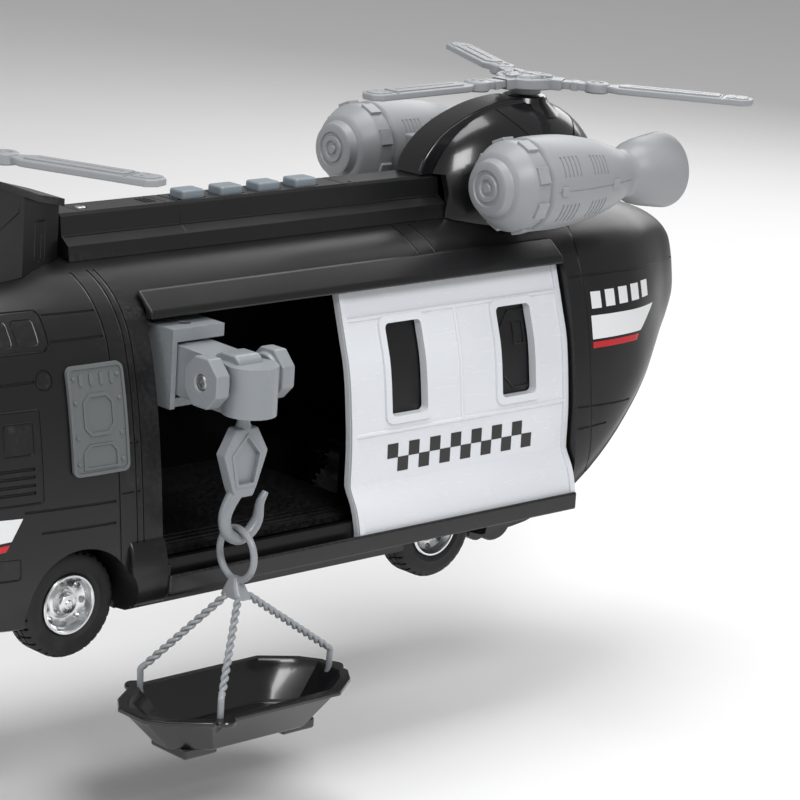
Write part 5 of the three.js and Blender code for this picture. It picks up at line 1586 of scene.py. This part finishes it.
@dataclass
class Wheel(Assembly):
    """One wheel: a blocked tyre on a plated rim."""

    end: str = "front"
    side: Side = Side.PORT
    blocks: int = 34

    def build(self) -> None:
        """Builds the tyre and the rim at their axle."""
        self.body = f"{self.end}_wheels"
        place = f"{self.end}_{self.side.label}"
        low, high = corners(f"tyre_{place}")
        centre = Vector(((low.x + high.x) / 2, 0, (low.z + high.z) / 2))
        for form, finish, node in (
            (self._tyre(), TYRE_BLACK, f"tyre_{place}"), (self._rim(), RIM_SILVER, f"rim_{place}")
        ):
            if self.side is Side.STARBOARD:
                form.mirrored()
            form.moved(centre).piece(f"{node}_turned", self.body, finish, [node], smooth=28)

    def _tyre(self) -> Form:
        """The tyre about the Y axis, with grooves between its tread blocks."""
        profile = [
            (10.5, 33.2), (13.4, 32.3), (15.0, 32.0), (16.4, 32.3), (17.5, 33.2), (18.0, 34.4), (18.0, 36.6),
            (17.3, 36.75), (17.3, 37.55), (18.0, 37.7), (18.0, 39.9), (17.3, 40.05), (17.3, 40.85),
            (18.0, 41.0), (18.0, 42.2), (17.6, 43.0), (16.6, 43.75), (15.2, 44.0), (13.6, 43.7),
            (12.2, 43.9), (11.2, 43.5), (10.5, 42.9),
        ]
        tyre = Form.turned(Axis.Y, profile, (0, 0, 0), 136, ring=True)
        slots = Form()
        for i in range(self.blocks):
            turn = 360 / self.blocks * i
            for low, high, lean in ((31.0, 36.7, 0.0), (37.6, 40.0, 0.5), (40.9, 45.0, 0.25)):
                slot = Form.block((-0.45, low, 16.9), (0.45, high, 20))
                slots.with_copy(slot.rotated(Axis.Y, turn + lean * 360 / self.blocks))
        return tyre.cut(slots)

    def _rim(self) -> Form:
        """The rim with its lip, deep dish, oval holes and hub cap."""
        profile = [
            (1.6, 34.0), (10.2, 34.0), (10.2, 43.4), (9.9, 43.75), (9.3, 43.7), (9.0, 43.2), (8.8, 42.0),
            (8.2, 40.9), (7.0, 40.2), (5.4, 40.0), (4.5, 40.4), (3.9, 41.5), (3.5, 42.6), (3.1, 43.0),
            (1.6, 43.2),
        ]
        rim = Form.turned(Axis.Y, profile, (0, 0, 0), 96, ring=True)
        cap_profile = [(0, 42.2), (1.58, 42.2), (1.58, 43.1), (1.2, 43.5), (0, 43.6)]
        cap = Form.turned(Axis.Y, cap_profile, (0, 0, 0), 32)
        holes = Form()
        angles = [FULL_TURN * i / 16 for i in range(16)]
        oval = [(1.35 * math.cos(a), 1.0 * math.sin(a) + 7.2) for a in angles]
        for i in range(8):
            holes.with_copy(Form.prism(Axis.Y, oval, 37.6, 44).rotated(Axis.Y, 45 * i))
        return rim.cut(holes).with_copy(cap)


@dataclass
class SideHatch(Assembly):
    """The grey hatch on the port side, with its rim, rivets, slots and octagon panels."""

    shape: HullShape = field(default_factory=HullShape)

    def build(self) -> None:
        """Builds the plate and what is raised on it."""
        low, high = corners("side_hatch")
        x0, x1, z0, z1 = low.x, high.x, low.z, high.z
        whole = Form.prism(Axis.Y, rounded((x0, z0), (x1, z1), 2.4, 5), 20, 80)
        plate = self._layer(0.3, 1.0).keep(whole).eased(0.25, 2)
        raised = self._layer(0.7, 1.45)
        rim = Form.prism(Axis.Y, rounded((x0 + 0.1, z0 + 0.1), (x1 - 0.1, z1 - 0.1), 2.3, 5), 20, 80).cut(
            Form.prism(Axis.Y, rounded((x0 + 1.1, z0 + 1.1), (x1 - 1.1, z1 - 1.1), 1.6, 5), 15, 85)
        )
        middle_x = (x0 + x1) / 2
        octagon = [(-6, -2.6), (-6, 5.4), (-3.6, 8), (3.6, 8), (6, 5.4), (6, -2.6), (3.6, -5.4), (-3.6, -5.4)]
        lower = [(-7, -16), (-7, -10.6), (-4.6, -8), (4.6, -8), (7, -10.6), (7, -16)]
        shapes = [rim]
        share = 0.84
        for outline in (octagon, lower):
            centre_z = sum(v for _, v in outline) / len(outline)
            outer = [(middle_x + u, z0 + 18 + v) for u, v in outline]
            inner = [(middle_x + u * share, z0 + 18 + centre_z + (v - centre_z) * share) for u, v in outline]
            shapes.append(Form.prism(Axis.Y, outer, 20, 80).cut(Form.prism(Axis.Y, inner, 15, 85)))
        for i in range(4):
            x = middle_x - 6 + 4 * i
            slot_outline = rounded((x - 0.7, z1 - 6.4), (x + 0.7, z1 - 2.6), 0.65, 3)
            shapes.append(Form.prism(Axis.Y, slot_outline, 20, 80))
        adds = [raised.keep(each) for each in shapes]
        for x, z in [(x, z) for x in (x0 + 2.6, x1 - 2.6) for z in (z0 + 4, z0 + 12.5, z1 - 11.5, z1 - 4)]:
            rivet_profile = [(0, -0.6), (0.85, -0.6), (0.85, 0.1), (0.6, 0.5), (0, 0.65)]
            adds.append(Form.turned(Axis.Y, rivet_profile, self.shape.skin(x, z, 1.0), 16))
        # The plate's finish is a darker copy of the rotor grey, with painted shade in its colour.
        plate.join(*adds).piece("side_hatch_moulded", self.body, HATCH_SHADED_GREY, ["side_hatch"])

    def _layer(self, low: float, high: float) -> Form:
        """A layer that follows the hull between two distances off its skin."""
        stations = [self.shape.at(56 + 2.5 * i) for i in range(16)]
        outer = Form.lofted([self.shape.ring(each, -high) for each in stations[1:-1]])
        inner = Form.lofted([self.shape.ring(each, -low) for each in stations])
        return outer.cut(inner)


@dataclass
class Winch(Assembly):
    """The winch: bracket, arm, drum, knobs, hook and line."""

    def build(self) -> None:
        """Builds the winch from the bracket outwards."""
        self.soften("winch_bracket", WINCH_GREY, 1.5)
        self.soften("winch_arm", WINCH_GREY, 0.8, adds=[self._tongue()], body="winch_arm")
        for knob in ("winch_knob_front", "winch_knob_rear"):
            self.soften(knob, WINCH_GREY, 0.95, body="winch_drum")
        self.dress(WINCH_GREY, "winch_drum")
        self.dress(BARE_STEEL, "winch_hinge_pin")
        self._screw()
        self._hook()
        self.dress(SLING_GREY, "hoist_line")

    def _tongue(self) -> Form:
        """The raised tongue over the drum, on top of the head."""
        _, high = corners("winch_arm")
        drum = pivot("winch_turn")
        outline = [
            (drum.y - 7.5, high.z - 2.2), (drum.y - 6.6, high.z + 0.4), (drum.y - 4, high.z + 1.6),
            (drum.y + 3, high.z + 1.6), (drum.y + 5.2, high.z + 0.2), (drum.y + 6, high.z - 2.2),
        ]
        return Form.prism(Axis.X, outline, drum.x - 5.2, drum.x + 5.2).eased(0.8, 3)

    def _screw(self) -> None:
        """The screw in the front knob."""
        low, high = corners("winch_screw")
        y, z = (low.y + high.y) / 2, (low.z + high.z) / 2
        profile = [(0, -0.9), (2.35, -0.9), (2.4, -0.45), (1.9, -0.1), (0, 0.05)]
        head = Form.turned(Axis.X, profile, (high.x, y, z), 40)
        cross = [
            Form.block((high.x - 0.6, y - a, z - b), (high.x + 1, y + a, z + b))
            for a, b in ((1.4, 0.28), (0.28, 1.4))
        ]
        head.cut(*cross).piece("winch_screw_turned", "winch_drum", BARE_STEEL, ["winch_screw"])

    def _hook(self) -> None:
        """The hook: a lozenge plate with a recess, a stem and a round tapering bow."""
        (x, y), top = HOIST, 65.6
        plate_outline = [
            (-4.4, 0), (4.4, 0), (9.2, -8.5), (5.2, -20), (3.6, -23.4), (-3.6, -23.4), (-5.2, -20),
            (-9.2, -8.5),
        ]
        recess_outline = [(0, -2.8), (5.2, -9), (3.2, -18.6), (-3.2, -18.6), (-5.2, -9)]
        lip_outline = [(x + u * 1.22, top - 10.6 + (v + 10.6) * 1.16) for u, v in recess_outline]
        plate = Form.prism(Axis.Y, [(x + u, top + v) for u, v in plate_outline], y - 2.5, y + 2.5)
        plate.eased(0.7, 3)
        recess = Form.prism(Axis.Y, [(x + u, top + v) for u, v in recess_outline], y + 1.1, y + 4)
        lip = Form.prism(Axis.Y, lip_outline, y + 2, y + 3)
        stem_profile = [(0, -2), (2.6, -2), (2.6, 0.5), (2.2, 1.4), (2.2, 6.6), (1.6, 7.9), (0, 8)]
        stem = Form.turned(Axis.Z, stem_profile, (x, y, top), 32)
        points = [
            (2.6, 9.5), (5, 6), (6.6, 1.5), (5.2, -3.6), (0.6, -6.4), (-4, -5), (-7.4, -1), (-8.2, 4.4),
            (-10.4, 8),
        ]
        path = smooth_path([(33.9 + u, y, 34.0 + v) for u, v in points], 40)
        widths = [2.6 - 0.5 * min(1, i / 12) - 1.0 * max(0.0, (i - 28) / 12) for i in range(41)]
        bow = Form.tube(path, widths, 20)
        full = plate.join(lip.eased(0.3, 2), stem, bow).cut(recess)
        full.piece("hook_moulded", "hook", WINCH_GREY, ["hook"], smooth=40)


@dataclass
class Sling(Assembly):
    """The ring, its web, three twisted legs and the tray that they carry."""

    body: str = "sling"
    wire: float = 0.72
    twist_pitch: float = 6.0
    ears: tuple = ((60.0, 54.9), (56.5, 92.1), (-6.5, 73.5))
    ear_z: float = -22.0

    def build(self) -> None:
        """Builds the sling and the tray."""
        x, y = HOIST
        angles = [FULL_TURN * i / 72 for i in range(72)]
        ring_path = [Vector((x, y + 8.7 * math.cos(a), 22.45 + 8.7 * math.sin(a))) for a in angles]
        ring = Form.loop(ring_path, 1.2, 14)
        web_rings = []
        sections = (1.5, 1.8, 0, 14.6), (2.4, 3.0, 0.1, 12), (2.9, 4.4, 0.3, 9.6), (2.9, 5.2, 0.5, 8)
        for width, depth, shift, z in sections:
            outline = rounded((-width, -depth), (width, depth), min(width, depth) * 0.6, 4)
            web_rings.append([Vector((x + u, y + shift + v, z)) for u, v in outline])
        parts = [ring.join(Form.lofted(web_rings))]
        for leg, ear in enumerate(self.ears):
            parts += self._leg(ear, leg)
        full = parts[0]
        for part in parts[1:]:
            full.with_copy(part)
        full.piece("sling_twisted", self.body, SLING_GREY, ["sling"], smooth=50)
        self._tray()

    def _leg(self, ear: tuple[float, float], index: int) -> list[Form]:
        """Two strands wound round each other from the web to the knee, and the plain hook at the ear."""
        x, y = ear
        top = Vector((34.5 + (x - 34.5) * 0.06, 71.5 + (y - 70.5) * 0.12, 9.4))
        knee = Vector((x, y, self.ear_z + 5))
        along = (knee - top).normalized()
        across = along.orthogonal().normalized()
        other = along.cross(across)
        length = (knee - top).length
        steps = max(30, round(length * 2.2))
        strands = []
        for phase in (0.0, math.pi):
            path = []
            for i in range(steps + 1):
                share = i / steps
                angle = phase + FULL_TURN * share * length / self.twist_pitch + index
                reach = 0.68 * min(1.0, share * 12, (1 - share) * 12 + 0.15)
                around = across * math.cos(angle) + other * math.sin(angle)
                path.append(top.lerp(knee, share) + around * reach)
            strands.append(Form.tube(path, self.wire, 8))
        bend = smooth_path(
            [knee - along * 2.4, knee, knee + Vector((0, 0, -2.2)), Vector((x, y, self.ear_z - 4))], 14
        )
        strands.append(Form.tube(bend, 1.1, 12))
        return strands

    def _tray(self) -> None:
        """The tray with its rounded rim, ears and feet."""
        low, high = corners("tray")
        floor_z = low.z + 3

        def plan(inset: float, taper: float, z: float) -> list[Vector]:
            """One ring of the tray's outline."""
            length, width = 44 - inset - taper, 21.5 - inset - taper * 0.6
            quarter = [(length, 0.3 * width), (length - 5, 0.62 * width), (length * 0.62, width)]
            side = quarter + [(-u, v) for u, v in reversed(quarter)]
            return [Vector((34.5 + u, 73.5 + v, z)) for u, v in side + [(-u, -v) for u, v in side]]

        rim_z = high.z
        outer = Form.lofted([
            plan(3.6, 10, floor_z), plan(2.6, 10, floor_z + 0.9), plan(2.0, 0.4, rim_z - 2.2),
            plan(0, 0, rim_z - 1.5), plan(0, 0, rim_z - 0.3), plan(0.4, 0, rim_z),
        ])
        inner = Form.lofted([
            plan(4.4, 10, floor_z + 1.5), plan(3.6, 9.2, floor_z + 2.6), plan(3.4, 0.4, rim_z - 1.4),
            plan(2.6, 0, rim_z + 1),
        ])
        ears = []
        for i, (x, y) in enumerate(self.ears):
            shift = (-2, 0) if i == 2 else (0, 2.5 if y > 73.5 else -2.5)
            profile = [(0, -1.6), (3.3, -1.6), (3.6, -1.2), (3.6, -0.4), (3.3, 0), (0, 0)]
            ears.append(Form.turned(Axis.Z, profile, (x + shift[0], y + shift[1], rim_z), 36))
        holes = [Form.rod(Axis.Z, 1.45, -6, 4, (x, y, rim_z), 24) for x, y in self.ears]
        feet = [
            Form.block((x, 64.5, low.z), (x + 14, 82.5, floor_z + 1)).eased(1.0, 3) for x in (6.5, 48.5)
        ]
        tray = outer.eased(0.3, 2, 20).join(*ears, *feet).cut(inner, *holes)
        tray.piece("tray_moulded", self.body, GLOSS_BLACK, ["tray"], smooth=30)


@dataclass
class Inside(Assembly):
    """What shows through the doorway and from below: floor, wall, chassis, axles and motor."""

    def build(self) -> None:
        """Dresses the plain inner parts and builds the cabin floor's ribs."""
        self.dress(HULL_BLACK, "chassis_plate", "cabin_floor")
        self.dress(BOARD_GREEN, "circuit_board")
        self.dress(GLOSS_BLACK, "speaker", "friction_motor_frame")
        self.dress(TRIM_BEIGE, "cabin_front_wall")
        cells = [f"button_cell_{i}" for i in (1, 2, 3)]
        self.dress(BARE_STEEL, "axle_front", "axle_rear", "flywheel", *cells)
        self.dress(ROTOR_GREY, "drive_gear")
        low, high = corners("cabin_floor")
        for i in range(3):
            y = high.y - 5.5 - 3.2 * i
            rib = Form.block((low.x + 1, y, high.z - 0.1), (high.x - 1, y + 1.3, high.z + 0.9)).eased(0.3, 2)
            rib.piece(f"floor_rib_{i + 1}", self.body, HULL_BLACK)
        skid_profile = [(0, 36), (8, 36), (8.6, 37), (8.6, 40), (8, 41), (0, 41)]
        skid = Form.turned(Axis.Y, skid_profile, (-115, 0, 3.5), 40)
        skid.keep(Form.block((-140, 30, -6), (-90, 50, 3))).piece("sill_skid", self.body, HULL_BLACK)


@dataclass
class Stage:
    """Floor, light and camera."""

    camera_place: tuple[float, float, float] = (0.6805, 0.8206, 0.3316)
    heading: float = 46.37
    elevation: float = 14.40
    roll: float = 3.68
    lens: float = 142.49
    floor_drop: float = 0.031  # below the tray, so that the lowered tray clears it

    def build(self) -> None:
        """Makes the camera, the pale floor and the soft lights."""
        self._camera()
        self._floor()
        self._light("key", (0.35, 1.1, 1.15), 0.55, 11)
        self._light("fill", (1.3, -0.2, 0.8), 0.9, 4)
        self._light("top", (-0.1, 0.0, 1.4), 0.8, 11)
        self._light("back", (-1.1, -0.5, 0.7), 0.8, 5)
        world = bpy.data.worlds.new("studio")
        world.use_nodes = True
        world.node_tree.nodes["Background"].inputs["Color"].default_value = (1, 1, 1, 1)
        world.node_tree.nodes["Background"].inputs["Strength"].default_value = 0.32
        bpy.context.scene.world = world
        bpy.context.scene.view_settings.view_transform = "Standard"

    def _camera(self) -> None:
        """Puts the camera at its heading, elevation and roll."""
        phi, rise, roll = (math.radians(each) for each in (self.heading, self.elevation, self.roll))
        back = Vector((math.cos(phi) * math.cos(rise), math.sin(phi) * math.cos(rise), math.sin(rise)))
        level = Vector((-math.sin(phi), math.cos(phi), 0))
        upright = back.cross(level)
        right = level * math.cos(roll) + upright * math.sin(roll)
        up = upright * math.cos(roll) - level * math.sin(roll)
        camera = bpy.data.objects.new("camera", bpy.data.cameras.new("camera"))
        camera.data.lens = self.lens
        turn = Matrix((right, up, back)).transposed().to_4x4()
        camera.matrix_world = Matrix.Translation(self.camera_place) @ turn
        bpy.context.collection.objects.link(camera)
        bpy.context.scene.camera = camera

    def _floor(self) -> None:
        """A wide plain sheet under the toy."""
        form = Form()
        bmesh.ops.create_grid(form.bm, x_segments=2, y_segments=2, size=6000)
        mesh = bpy.data.meshes.new("floor")
        bmesh.ops.scale(form.bm, vec=(MM,) * 3, verts=form.bm.verts)
        form.bm.to_mesh(mesh)
        floor = bpy.data.objects.new("floor", mesh)
        floor.location.z = corners("tray")[0].z * MM - self.floor_drop
        graph = Graph("pale_floor")
        graph.feed("Base Color", graph.noise(60, 2).blend((0.86, 0.86, 0.86), (0.89, 0.89, 0.89)))
        graph.feed("Roughness", 0.7)
        mesh.materials.append(graph.material)
        bpy.context.collection.objects.link(floor)

    def _light(self, name: str, place: Sequence[float], size: float, power: float) -> None:
        """A square soft light aimed at the middle of the toy."""
        light = bpy.data.lights.new(name, "AREA")
        light.size = size
        light.energy = power
        lamp = bpy.data.objects.new(name, light)
        lamp.location = place
        lamp.rotation_euler = (Vector(place) - Vector((-0.05, 0, 0.05))).to_track_quat("Z", "Y").to_euler()
        bpy.context.collection.objects.link(lamp)


def main() -> None:
    """Builds every sub-assembly."""
    logging.basicConfig(level=logging.INFO, format="%(message)s")
    Stage().build()
    wheels = [Wheel(end=end, side=side) for end in ("front", "rear") for side in Side]
    rotors = [Rotor(end="front", turn=110.0), Rotor(end="rear", turn=124.0)]
    engines = [Engine(side=side) for side in Side]
    parts = [
        Hull(), Nose(), SlidingDoor(), Roof(), Pylons(), *engines, *rotors, *wheels, SideHatch(), Winch(),
        Sling(), Inside(),
    ]
    for part in parts:
        LOG.info("building %s", type(part).__name__)
        part.build()


if __name__ == "__main__":
    main()
